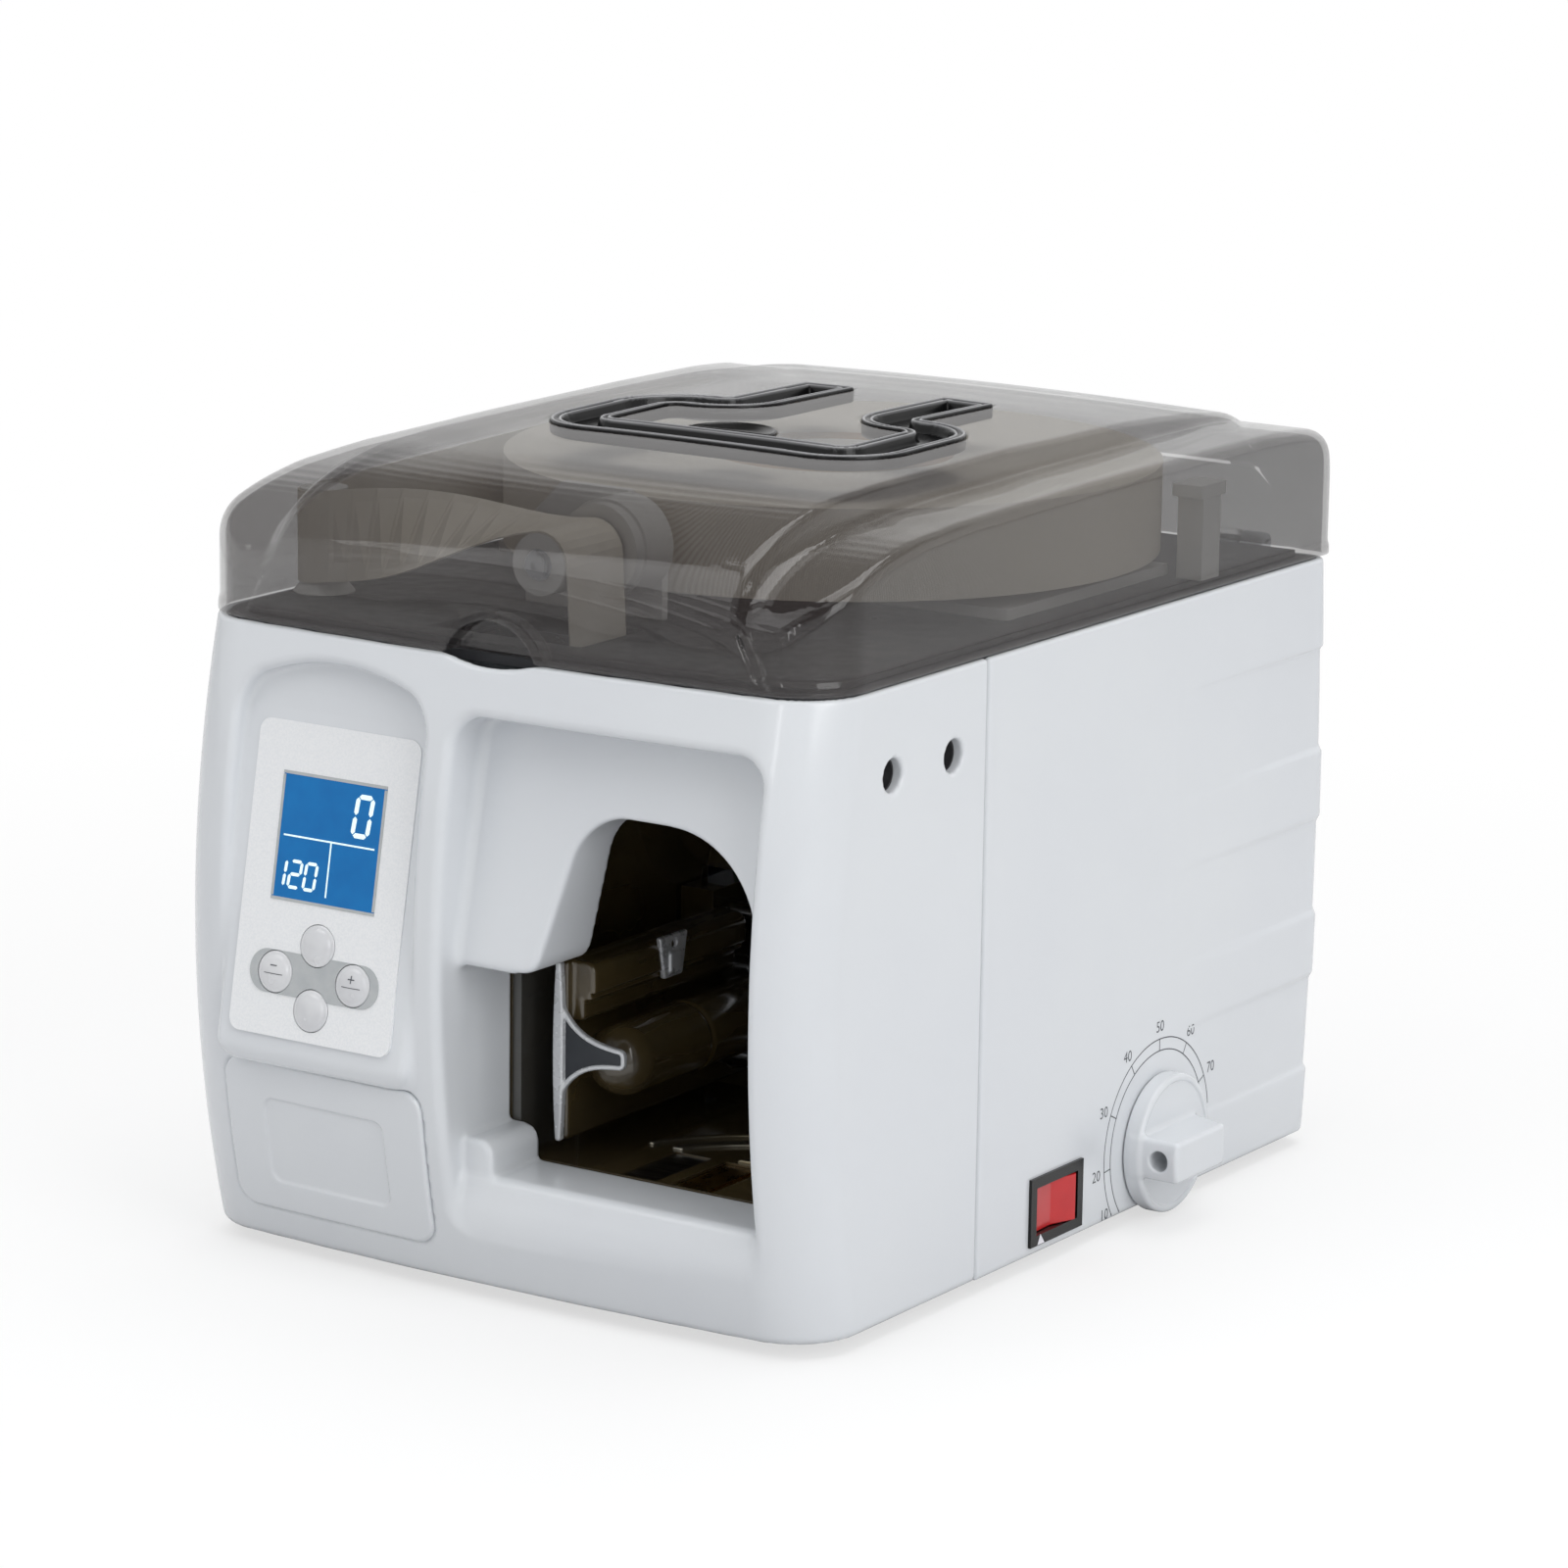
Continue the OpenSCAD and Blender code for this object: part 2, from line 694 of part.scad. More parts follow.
module dial_knob() {
    disc_x = half_w + part_gap;
    placed() color("#e4e8ea") translate([disc_x, dial_y, dial_z]) difference() {
        union() {
            rotate([0, 90, 0]) cylinder(r = knob_r, h = knob_t - 1);
            translate([knob_t - 1, 0, 0]) rotate([0, 90, 0])
                cylinder(r1 = knob_r, r2 = knob_r - 1.2, h = 1);
            translate([knob_t - 1, 0, 0]) intersection() {
                translate([0, 0, -grip_t / 2]) linear_extrude(grip_t)
                    polygon([[0, -knob_r], [grip_out + 1, -knob_r], [grip_out + 1, 9],
                        [grip_out - 1, 13], [0, knob_r]]);
                rotate([0, 90, 0]) cylinder(r = knob_r - 0.6, h = grip_out + 1);
            }
        }
        rod_x(-1, 0, 0, dial_shaft_r, 11);
        rod_y(knob_t + grip_out / 2, -knob_r - 1, 0, 3.2, 14);
    }
}

module dial_shaft() {
    placed() color("#b8bcc0")
        rod_x(rack_x - 8, dial_y, dial_z, dial_shaft_r, half_w + part_gap + 10 - rack_x + 8);
}

module dial_pinion() {
    placed() color("#d8c9a0") difference() {
        facing_side(rack_x, rack_w) translate([dial_y, dial_z]) gear_outline(dial_teeth, 0.03);
        rod_x(rack_x - 1, dial_y, dial_z, dial_shaft_r, rack_w + 2);
    }
}

module note_stop() {
    placed() color("#2a2b2e") difference() {
        translate([rack_x - 27, stop_y, bay_floor + 3.6]) cube([35, 2, 59]);
        translate([rack_x - 18, stop_y - 1, 62]) cube([17, 4, 22]);
    }
}

rack_top = min(rod_low_z - rod_r - 0.6, rack_z + 6);
rack_front = 19;
rack_back = 7;
rack_end = dial_y + (rack_back + 0.5) * PI * module_mm;
module stop_rack() {
    pitch = PI * module_mm;
    root = rack_z + 1.1 * module_mm;
    tip = rack_z - 0.8 * module_mm;
    placed() color("#c9ccd0") {
        translate([rack_x, stop_y + 2, root])
            cube([rack_w, rack_end - stop_y - 2, rack_top - root]);
        facing_side(rack_x, rack_w) for (i = [-rack_front:rack_back - 1])
            translate([dial_y + (i + 0.5) * pitch, 0])
                polygon([[-1.1, root + 0.1], [-0.68, rack_z], [-0.32, tip], [0.32, tip],
                    [0.68, rack_z], [1.1, root + 0.1]]);
    }
}

// Inverted channel that guides the rack and carries the inner end of the dial shaft
module stop_rails() {
    y0 = liner_end + 1;
    length = dial_y + 22 - y0;
    t = 3;
    placed() color("#9a9ea3") difference() {
        union() {
            translate([rack_x - part_gap - t, y0, floor_z])
                cube([t, length, rack_top + part_gap - floor_z]);
            translate([rack_x + rack_w + part_gap, y0, rack_z - 6])
                cube([t, length, rack_top + part_gap - rack_z + 6]);
            translate([rack_x - part_gap - t, y0, rack_top + part_gap])
                cube([rack_w + 2 * part_gap + 2 * t, length, t]);
            translate([rack_x - part_gap - t - 14, y0, floor_z]) cube([15, length, 2]);
        }
        rod_x(rack_x - 10, dial_y, dial_z, dial_shaft_r + run_gap, 10);
        for (y = [y0 + 12, y0 + length - 12])
            translate([rack_x - part_gap - t - 7, y, floor_z - 1]) cylinder(r = 2, h = 5);
    }
}

module tape_roll() {
    placed() color("#e6e1d3") translate([0, roll_y, roll_z]) difference() {
        cylinder(r = roll_r, h = tape_w, $fn = 96);
        translate([0, 0, -1]) cylinder(r = core_r, h = tape_w + 2, $fn = 96);
    }
}

module roll_core() {
    placed() color("#b08d5e") translate([0, roll_y, roll_z]) difference() {
        cylinder(r = core_r, h = tape_w, $fn = 96);
        translate([0, 0, -1]) cylinder(r = spindle_r + run_gap, h = tape_w + 2, $fn = 96);
    }
}

module reel_tray() {
    placed() color("#c9c9c6") translate([0, roll_y, deck_z]) {
        difference() {
            translate([-roll_r + 9, -48, 0]) cube([2 * (roll_r - 9), 96, 3.5]);
            for (s = [-1, 1])
                translate([s * 62, 0, -1]) cylinder(r = 20, h = 6);
        }
        translate([0, 0, 3]) cylinder(r = 44, h = roll_z - deck_z - 3 - part_gap);
        cylinder(r = spindle_r, h = roll_z - deck_z + tape_w);
    }
}

module guide_post() {
    placed() color("#cfd0cf") translate([post_x, post_y, deck_z]) {
        cylinder(r1 = post_r + 2.2, r2 = post_r, h = 3);
        cylinder(r = post_r, h = roll_z - deck_z + tape_w - post_drop + 0.6);
    }
}

module idler_bracket() {
    w = 50;
    h = idler_z + 15.5 - deck_z;
    cut = 13;
    placed() color("#d5d6d4") difference() {
        facing_front(tape_y + 36, 3)
            translate([idler_x - w + 11, deck_z])
                polygon([[0, 0], [w, 0], [w, h - cut], [w - cut, h], [cut, h], [0, h - cut]]);
        rod_y(idler_x, tape_y, idler_z, 2.5, 60);
    }
}

module idler_hub() {
    placed() color("#cfd0ce") difference() {
        union() {
            rod_y(idler_x, tape_y + tape_w / 2 + 1.5, idler_z, 14, 4);
            rod_y(idler_x, tape_y + tape_w / 2 + 5.5, idler_z, 15, 33 - tape_w / 2 - 5.5);
        }
        rod_y(idler_x, tape_y, idler_z, 2.5, 60);
    }
}

module idler_roller() {
    placed() color("#dcdcd8") difference() {
        rod_y(idler_x, tape_y - tape_w / 2 - 0.5, idler_z, idler_r, tape_w + 1);
        rod_y(idler_x, tape_y - 30, idler_z, 2.5 + run_gap, 60);
        rod_y(idler_x, tape_y - tape_w / 2 - 1, idler_z, 4.7, 4.5);
    }
}

module idler_bearing() {
    placed() color("#9fa3a8") difference() {
        rod_y(idler_x, tape_y - tape_w / 2 - 0.5, idler_z, 4.7, 4);
        rod_y(idler_x, tape_y - 30, idler_z, 2.5 + run_gap, 60);
    }
}

module idler_screw() {
    placed() color("#8d9196") {
        rod_y(idler_x, tape_y - tape_w / 2 - 0.8, idler_z, 2.5, 36 + tape_w / 2 + 0.8);
        difference() {
            rod_y(idler_x, tape_y - tape_w / 2 - 2.6, idler_z, 3.6, 1.8);
            rod_y(idler_x, tape_y - tape_w / 2 - 3, idler_z, 1.5, 1.6);
        }
    }
}

// Stations of the tape: middle point, direction across the tape, outward direction
tape_mid_z = roll_z + tape_w / 2;
post_mid_z = tape_mid_z - post_drop;
tape_post_r = post_r + part_gap + tape_t / 2;
tape_idler_r = idler_r + part_gap + tape_t / 2;
twist_steps = 12;
stations = concat(
    [for (i = [0:3]) let(t = i / 3)
        [[-roll_r - 0.6 + (post_x - tape_post_r + roll_r + 0.6) * t, roll_y + (post_y - roll_y) * t,
            tape_mid_z - post_drop * t], [0, 0, 1], [-1, 0, 0]]],
    [for (i = [1:5]) let(a = 180 + 90 * i / 6)
        [[post_x + tape_post_r * cos(a), post_y + tape_post_r * sin(a), post_mid_z],
            [0, 0, 1], [cos(a), sin(a), 0]]],
    [for (i = [0:twist_steps]) let(t = i / twist_steps, a = 90 * t * t * (3 - 2 * t))
        [[post_x + (idler_x - post_x) * t,
            post_y - tape_post_r + (tape_y - post_y + tape_post_r) * t,
            post_mid_z + (idler_z + tape_idler_r - post_mid_z) * t],
            [0, sin(a), cos(a)], [0, -cos(a), sin(a)]]],
    [for (i = [1:6]) let(a = 90 - 90 * i / 6)
        [[idler_x + tape_idler_r * cos(a), tape_y, idler_z + tape_idler_r * sin(a)],
            [0, 1, 0], [cos(a), 0, sin(a)]]],
    [[[tape_x + tape_t / 2, track_y, feed_z + 8], [0, 1, 0], [1, 0, 0]],
        [[tape_x + tape_t / 2, track_y, arch_z + 38], [0, 1, 0], [1, 0, 0]]]);

module tape_strip() {
    placed() color("#e6e1d3")
        loft([for (s = stations) [for (c = [[1, 1], [1, -1], [-1, -1], [-1, 1]])
            s[0] + s[1] * (c[0] * tape_w / 2) + s[2] * (c[1] * tape_t / 2)]]);
}

// Lid: heights over the seam along the middle field and along the shoulders, as [y, z]
lid_back = body_d;
field_line = [[0, 20], [1, 23], [4, 29], [10, 35.5], [20, 41], [32, 45], [50, 48.6], [80, 50],
    [150, 50.8], [220, 50], [262, 47.8], [284, 44.4], [293, 38], [297.5, 30], [299, 22]];
shoulder_line = [[0, 19], [1, 21], [4, 24.5], [10, 29], [20, 33.8], [32, 37.3], [50, 40.6],
    [80, 42.6], [150, 44], [220, 43.3], [262, 41.8], [284, 39], [293, 34], [297.5, 27], [299, 20]];
side_line = [[0, 18], [0.8, 13], [2.5, 8.5], [5, 5.2], [9, 2.6], [14, 1], [28, 0]];
field_crown = 1.3;
lid_rows = [0, 0.75, 2.95, 6.4, 11, 16.3, 22, 32, 45, 60, 85, 120, 150, 185, 220, 245, 262, 276,
    286, 293, 295.3, 297.3, 298.5, 299];
lid_cols = [-114, -113.6, -112.6, -110.8, -108, -104.5, -99, -92, -86, -82, -76, -60, -40, -20, 0,
    20, 40, 60, 76, 82, 86, 92, 99, 104.5, 108, 110.8, 112.6, 113.6, 114];
core_rows = [0, 1, 4, 9, 16, 22, 40, 60, 85, 120, 150, 185, 220, 245, 262, 276, 286, 293, 296.5, 299];
core_cols = [-114, -112.6, -110, -106, -100, -92, -86, -82, -60, -30, 0, 30, 60, 82, 86, 92, 100,
    106, 110, 112.6, 114];

function smooth(t) = t * t * (3 - 2 * t);
function clamp01(t) = max(0, min(1, t));

// Half width of the lid where the row's share of depth is y, drawn in by inset
function lid_half(y, inset) =
    let(w = half_w - inset, rf = corner_r - inset, rb = rear_r - inset,
        front = y - inset, back = lid_back - inset - y)
    front < rf ? w - rf + sqrt(max(0, rf * rf - pow(rf - front, 2)))
    : back < rb ? w - rb + sqrt(max(0, rb * rb - pow(rb - back, 2))) : w;

function lid_height(x, y, half) =
    let(s = y * 299 / lid_back, ax = abs(x), rise = shoulder_rise - 44,
        t = smooth(clamp01((ax - field_half_w) / 4)),
        field = lookup(s, field_line) + field_rise - 6.8 + rise
            + field_crown * (1 - pow(min(ax, field_half_w) / field_half_w, 2)),
        front_drop = 44 - lookup(s, shoulder_line),
        side_drop = lookup(half - ax, side_line),
        shoulder = 44 + rise - sqrt(front_drop * front_drop + side_drop * side_drop))
    field * (1 - t) + shoulder * t;

// Grid of points over the lid, drawn in by inset and lowered by the same amount
function lid_grid(rows, cols, inset) =
    [for (row = rows)
        let(y = inset + row * (lid_back - 2 * inset) / 299, half = lid_half(y, inset))
        [for (col = cols)
            let(x = col * half / 114, xc = half_w - corner_r,
                bow = front_crown * max(0, 1 - pow(x / xc, 2)) * clamp01(1 - y / 50))
            [x, y - bow, lid_z + lid_height(x, y, half) - seam_gap - inset * 1.08]]];

module lid_solid(rows, cols, inset, foot) {
    grid = lid_grid(rows, cols, inset);
    m = len(rows);
    n = len(cols);
    top = [for (row = grid) each row];
    border = concat([for (i = [0:m - 1]) i * n], [for (j = [1:n - 1]) (m - 1) * n + j],
        [for (i = [m - 2:-1:0]) i * n + n - 1], [for (j = [n - 2:-1:1]) j]);
    b = len(border);
    base = m * n;
    points = concat(top, [for (k = border) [top[k][0], top[k][1], foot]]);
    faces = concat(
        [for (i = [0:m - 2], j = [0:n - 2]) let(a = i * n + j)
            each [[a, a + n, a + n + 1], [a, a + n + 1, a + 1]]],
        [for (k = [0:b - 1]) let(l = (k + 1) % b)
            each [[base + k, base + l, border[l]], [base + k, border[l], border[k]]]],
        [[for (k = [b - 1:-1:0]) base + k]]);
    polyhedron(points, faces);
}

// Channel in the lid's top, grown by o: a wide loop with round corners, open at the back,
// where two arms run out of it
channel_front = 98;
channel_half = 63;
channel_back = 172;
channel_arm = 26;
channel_end = 216;
channel_turn = 14;
channel_neck = 12;
module channel_run(x0, y0, x1, y1, w) {
    along_x = abs(x1 - x0) > abs(y1 - y0);
    translate([min(x0, x1) - (along_x ? 0 : w), min(y0, y1) - (along_x ? w : 0)])
        square([abs(x1 - x0) + (along_x ? 0 : 2 * w), abs(y1 - y0) + (along_x ? 2 * w : 0)]);
}

module channel_bend(x, y, r, w, sx, sy) {
    intersection() {
        translate([x, y]) difference() {
            circle(r + w);
            circle(max(0.1, r - w));
        }
        translate([sx > 0 ? x : x - 40, sy > 0 ? y : y - 40]) square(40);
    }
}

module channel_shape(o) {
    c = channel_w / 2;
    w = c + o;
    x = channel_half - c;
    y0 = channel_front + c;
    y1 = channel_back - c;
    t = channel_turn;
    n = channel_neck;
    channel_run(-x + t, y0, x - t, y0, w);
    for (s = [-1, 1]) mirror([s > 0 ? 0 : 1, 0]) {
        channel_bend(x - t, y0 + t, t, w, 1, -1);
        channel_run(x, y0 + t, x, y1 - t, w);
        channel_bend(x - t, y1 - t, t, w, 1, 1);
        channel_run(channel_arm + n, y1, x - t, y1, w);
        channel_bend(channel_arm + n, y1 + n, n, w, -1, -1);
        channel_run(channel_arm, y1 + n, channel_arm, channel_end + o, w);
    }
}

module scoop_outline(o) {
    intersection() {
        translate([0, lid_z - 6.4]) circle(r = 17.3 + o);
        translate([-30, lid_z]) square([60, 40]);
    }
}

module lid() {
    scoop_y = -front_crown + 6;
    placed() color("#6b6460", 0.55) difference() {
        union() {
            difference() {
                lid_solid(lid_rows, lid_cols, 0, lid_z);
                lid_solid(core_rows, core_cols, lid_wall, lid_z - 1);
            }
            facing_front(scoop_y + 2, 6) scoop_outline(2);
            for (s = [-1, 1])
                translate([s * hinge_x - knuckle_l / 2 + part_gap, 0, 0]) {
                    rod_x(0, hinge_y, hinge_z, barrel_r, knuckle_l - 2 * part_gap);
                    translate([0, body_d - 2, lid_z])
                        cube([knuckle_l - 2 * part_gap, hinge_y - body_d + 2, barrel_r - seam_gap]);
                }
        }
        facing_front(scoop_y, 30) scoop_outline(0);
        for (s = [-1, 1])
            rod_x(s * hinge_x - 20, hinge_y, hinge_z, hinge_pin_r + run_gap, 40);
        translate([0, 0, lid_z + 30]) linear_extrude(40) channel_shape(0.1);
        translate([0, 0, lid_z + 30]) linear_extrude(40) pad_shape(0.1);
    }
}

inlay_z = lid_z + shoulder_rise + 2.9;
inlay_h = 3.6;
module grip_inlay() {
    placed() color("#141416") difference() {
        translate([0, 0, inlay_z]) linear_extrude(inlay_h) channel_shape(0);
        translate([0, 0, inlay_z + 1.4]) linear_extrude(inlay_h) channel_shape(-3);
    }
}

module pad_shape(o) {
    c = channel_front + channel_w + 2;
    intersection() {
        translate([0, c]) circle(r = 15 + o);
        translate([-30, c - o]) square([60, 30]);
    }
}

module grip_pad() {
    placed() color("#141416") difference() {
        translate([0, 0, inlay_z]) linear_extrude(inlay_h) pad_shape(0);
        translate([0, channel_front + channel_w + 2, inlay_z + 10 + 1.4]) sphere(10);
    }
}

module hinge_pins() {
    placed() color("#b9bdc1") for (s = [-1, 1])
        rod_x(s * hinge_x - knuckle_l / 2 - 9.3, hinge_y, hinge_z, hinge_pin_r, knuckle_l + 18.6);
}

module lid_post() {
    placed() color("#b9b9b6") translate([half_w - 10.5, 228, deck_z]) {
        translate([-4.5, -5.5, 0]) cube([9, 11, 26]);
        translate([-5.5, -7.5, 26]) cube([10.5, 15, 4]);
    }
}

// Upright steel plate of the mechanism, drawn over y and z
module frame_sheet(points, x) {
    facing_side(x, steel_t) polygon(points);
}

module left_frame() {
    y0 = liner_y + 3;
    y1 = body_d - 15;
    low = 148;
    placed() color("#a4a8ac") difference() {
        frame_sheet([[y0, floor_z], [y1, floor_z], [y1, frame_top], [liner_end - 6, frame_top],
            [liner_end - 6, low], [y0, low]], left_x);
        for (z = [rod_low_z, rod_high_z])
            rod_x(left_x - 1, rod_y, z, rod_r, 5);
        rod_x(left_x - 1, press_screw_y, press_z, screw_r + run_gap, 5);
        for (y = [170, 240])
            rod_x(left_x - 1, y, 100, 22, 5);
    }
}

module right_frame() {
    y0 = liner_y + 3;
    y1 = body_d - 15;
    placed() color("#a4a8ac") difference() {
        frame_sheet([[y0, floor_z], [switch_y - 22, floor_z], [switch_y - 22, 30],
            [switch_y + 22, 30], [switch_y + 22, floor_z], [y1, floor_z], [y1, frame_top],
            [y0, frame_top]], right_x);
        for (z = [rod_low_z, rod_high_z])
            rod_x(right_x - 1, rod_y, z, rod_r, 5);
        rod_x(right_x - 1, press_screw_y, press_z, screw_r + run_gap, 5);
        rod_x(right_x - 1, dial_y, dial_z, dial_shaft_r + run_gap, 5);
        for (y = [170, 240])
            rod_x(right_x - 1, y, 100, 22, 5);
    }
}

// Tunnel section of the bay: straight sides and a round top, grown by o
module tunnel(o, foot) {
    translate([bay_mid, arch_z]) circle(r = arch_r + o, $fn = 96);
    translate([bay_mid - arch_r - o, foot]) square([2 * (arch_r + o), arch_z - foot]);
}

module tape_entry() {
    translate([tape_x - 2.2, track_y - tape_w / 2 - 1, arch_z + 20]) cube([5, tape_w + 2, 40]);
}

module bay_liner() {
    placed() color("#101012") difference() {
        facing_front(liner_end, liner_len) tunnel(liner_t, floor_z);
        facing_front(liner_end - liner_t, liner_len) tunnel(0, floor_z - 1);
        translate([bay_x - 1, liner_end - 5, press_foot])
            cube([press_x + press_travel - bay_x + 2, 10, press_head - press_foot + 8]);
        translate([rack_x - 2, liner_end - 5, rack_z - 3]) cube([rack_w + 4, 10, rack_top - rack_z + 5]);
        tape_entry();
        for (z = [rod_low_z, rod_high_z])
            rod_x(bay_x - 10, rod_y, z, rod_r + 0.2, 150);
    }
}

module tape_track() {
    y1 = track_y + tape_w / 2 + 2;
    length = y1 - liner_y;
    placed() color("#1c1c1f") difference() {
        facing_front(y1, length) tunnel(-part_gap, bay_floor);
        facing_front(y1 + 1, length + 2) tunnel(-3.2, bay_floor - 1);
        facing_front(y1 - 1.6, length - 2.6) tunnel(-2.2, bay_floor - 1);
        tape_entry();
    }
}

module bay_bed() {
    t = 4;
    jaw_y = track_y;
    placed() color("#18181a") difference() {
        translate([bay_x, liner_y, bay_floor - t]) cube([bay_w, liner_len - liner_t, t]);
        translate([29.6, jaw_y - 14.4, bay_floor - t - 1]) cube([12.8, 28.8, t + 2]);
        translate([47.6, jaw_y - 14.4, bay_floor - t - 1]) cube([14.8, 28.8, t + 2]);
    }
}

module press_plate() {
    rail_r = 6;
    placed() color("#0e0e10") difference() {
        union() {
            translate([press_x, liner_y + 4.4, press_foot])
                cube([4, rod_y + 8 - liner_y - 4.4, press_head - press_foot]);
            rod_y(press_x + 6, liner_y + 7.4, press_head - rail_r, rail_r,
                rod_y - rod_r - 2 - liner_y - 7.4);
        }
        for (z = [rod_low_z, rod_high_z])
            rod_x(press_x - 1, rod_y, z, rod_r + 0.3, 6);
    }
}

module press_edge() {
    y1 = liner_y + 4.4;
    placed() color("#e8eaec") {
        facing_front(y1, 2.4) intersection() {
            translate([press_x - 0.3, press_foot - 0.5]) square([4.6, press_head - press_foot + 1]);
            translate([press_x + 2 - 170, (press_foot + press_head) / 2]) circle(r = 172.2, $fn = 200);
            translate([press_x + 2 + 170, (press_foot + press_head) / 2]) circle(r = 172.2, $fn = 200);
        }
        facing_front(y1, 2.4) difference() {
            translate([press_x + 3.9, 52]) square([22, 33]);
            translate([press_x + 26, 52 - 7]) circle(22.5);
            translate([press_x + 26, 85 + 11]) circle(22.5);
        }
    }
}

module press_bar() {
    r = 11;
    x = press_x + 4 + r;
    placed() color("#0e0e10") {
        translate([x, liner_y + 6 + r, press_z - 6]) sphere(r);
        rod_y(x, liner_y + 6 + r, press_z - 6, r, rod_y - liner_y - r);
    }
}

module press_carriage() {
    placed() color("#2b2d31") difference() {
        translate([bay_x + 1, rod_y - 7, press_foot + 2])
            cube([press_x - bay_x - 1, press_screw_y + 6 - rod_y + 7, press_head - press_foot + 3]);
        for (z = [rod_low_z, rod_high_z])
            rod_x(bay_x, rod_y, z, rod_r + run_gap, 20);
        rod_x(bay_x, press_screw_y, press_z, screw_r + run_gap, 20);
    }
}

module press_rods() {
    placed() color("#c4c7ca") for (z = [rod_low_z, rod_high_z])
        rod_x(left_x, rod_y, z, rod_r, right_x + steel_t - left_x);
}

motor_l = 42;
module press_screw() {
    placed() color("#c4c7ca")
        rod_x(left_x - 20, press_screw_y, press_z, screw_r, right_x + steel_t - left_x + 20);
}

module press_motor() {
    placed() color("#6f7378") difference() {
        union() {
            rod_x(left_x - motor_l, press_screw_y, press_z, 18, motor_l);
            translate([left_x - 3, press_screw_y - 20, press_z - 20]) cube([3, 40, 40]);
        }
        rod_x(left_x - 21, press_screw_y, press_z, screw_r + run_gap, 22);
    }
}

module feed_frame() {
    y0 = track_y - tape_w / 2 - 4;
    y1 = track_y + tape_w / 2 + 5;
    x0 = motor_x - motor_pitch_r - 10;
    x1 = pinch_x + pinch_r + 4;
    placed() color("#a4a8ac") difference() {
        union() {
            for (y = [y0, y1])
                translate([x0, y, feed_z - 14]) cube([x1 - x0, steel_t, frame_top - feed_z + 14]);
            translate([x0, y0, frame_top - steel_t]) cube([x1 - x0, y1 - y0 + steel_t, steel_t]);
        }
        tape_slot(6);
        for (y = [y0 - 1, y1 - 1]) {
            rod_y(feed_x, y, feed_z, 3 + run_gap, 5);
            rod_y(pinch_x, y, feed_z, 2.5 + run_gap, 5);
        }
        rod_y(motor_x, y1 - 1, feed_z, 4, 5);
    }
}

module feed_roller() {
    y0 = track_y - tape_w / 2 - 4;
    y1 = track_y + tape_w / 2 + 5 + steel_t;
    placed() color("#3a3a3c") {
        rod_y(feed_x, y0, feed_z, 3, y1 - y0 + 8);
        rod_y(feed_x, track_y - tape_w / 2, feed_z, feed_r, tape_w);
        translate([feed_x, y1 + 7, feed_z]) rotate([90, 0, 0]) linear_extrude(6)
            gear_outline(feed_teeth, 0.03);
    }
}

module pinch_roller() {
    y0 = track_y - tape_w / 2 - 4;
    placed() color("#4a4a4c") {
        rod_y(pinch_x, y0, feed_z, 2.5, tape_w + 9 + steel_t);
        rod_y(pinch_x, track_y - tape_w / 2, feed_z, pinch_r, tape_w);
    }
}

feed_back = track_y + tape_w / 2 + 5;
module feed_motor() {
    placed() color("#6f7378") difference() {
        rod_y(motor_x, feed_back - 34, feed_z, 12, 34);
        rod_y(motor_x, feed_back - 10, feed_z, 3 + run_gap, 20);
    }
}

module feed_pinion() {
    placed() color("#d8c9a0") {
        rod_y(motor_x, feed_back - 9, feed_z, 3, 17 + steel_t);
        translate([motor_x, feed_back + steel_t + 7, feed_z]) rotate([90, 0, 0])
            linear_extrude(6) rotate(180 / motor_teeth) gear_outline(motor_teeth, 0.03);
    }
}

sol_h = 15;
sol_z = floor_z;
module clamp_jaw() {
    placed() color("#8d9196") {
        translate([30, track_y - 14, bay_floor - 6]) cube([12, 28, 5.5]);
        translate([36, track_y, sol_z + sol_h - 6]) cylinder(r = 3, h = bay_floor - 5.5 - sol_z - sol_h + 6);
    }
}

module seal_head() {
    placed() color("#a98b45") {
        translate([48, track_y - 14, bay_floor - 6]) cube([14, 28, 5.2]);
        translate([59, track_y - 13, bay_floor - 1]) cube([0.8, 26, 0.8]);
        translate([55, track_y, sol_z + sol_h - 6]) cylinder(r = 3, h = bay_floor - 5.5 - sol_z - sol_h + 6);
    }
}

module jaw_solenoids() {
    placed() color("#6f7378") difference() {
        for (x = [36, 55])
            translate([x - 8.5, track_y - 11, sol_z]) cube([17, 22, sol_h]);
        for (x = [36, 55])
            translate([x, track_y, sol_z + sol_h - 7]) cylinder(r = 3 + run_gap, h = 8);
    }
}

module main_board() {
    x = left_x - 8;
    y0 = body_d - 141;
    board_l = 104;
    board_h = 96;
    foot = 62;
    placed() color("#2f6b3c") {
        translate([x - 1.6, y0, foot]) cube([1.6, board_l, board_h]);
        for (y = [y0 + 5, y0 + board_l - 5], z = [foot + 5, foot + board_h - 5])
            rod_x(x - 0.1, y, z, 3, 8.1);
        translate([x - 12, y0 + 14, foot + 12]) cube([10.5, 26, 18]);
        translate([x - 5, y0 + 48, foot + 16]) cube([3.5, 20, 20]);
        for (y = [y0 + 18:14:y0 + 88])
            rod_x(x - 14, y, foot + board_h - 24, 5, 12.5);
    }
}

module power_supply() {
    placed() color("#8f9498") translate([-half_w + 12, body_d - 110, floor_z]) {
        difference() {
            cube([60, 80, 46]);
            for (i = [0:6])
                translate([8, 8 + i * 9.6, 40]) cube([44, 4, 10]);
        }
    }
}

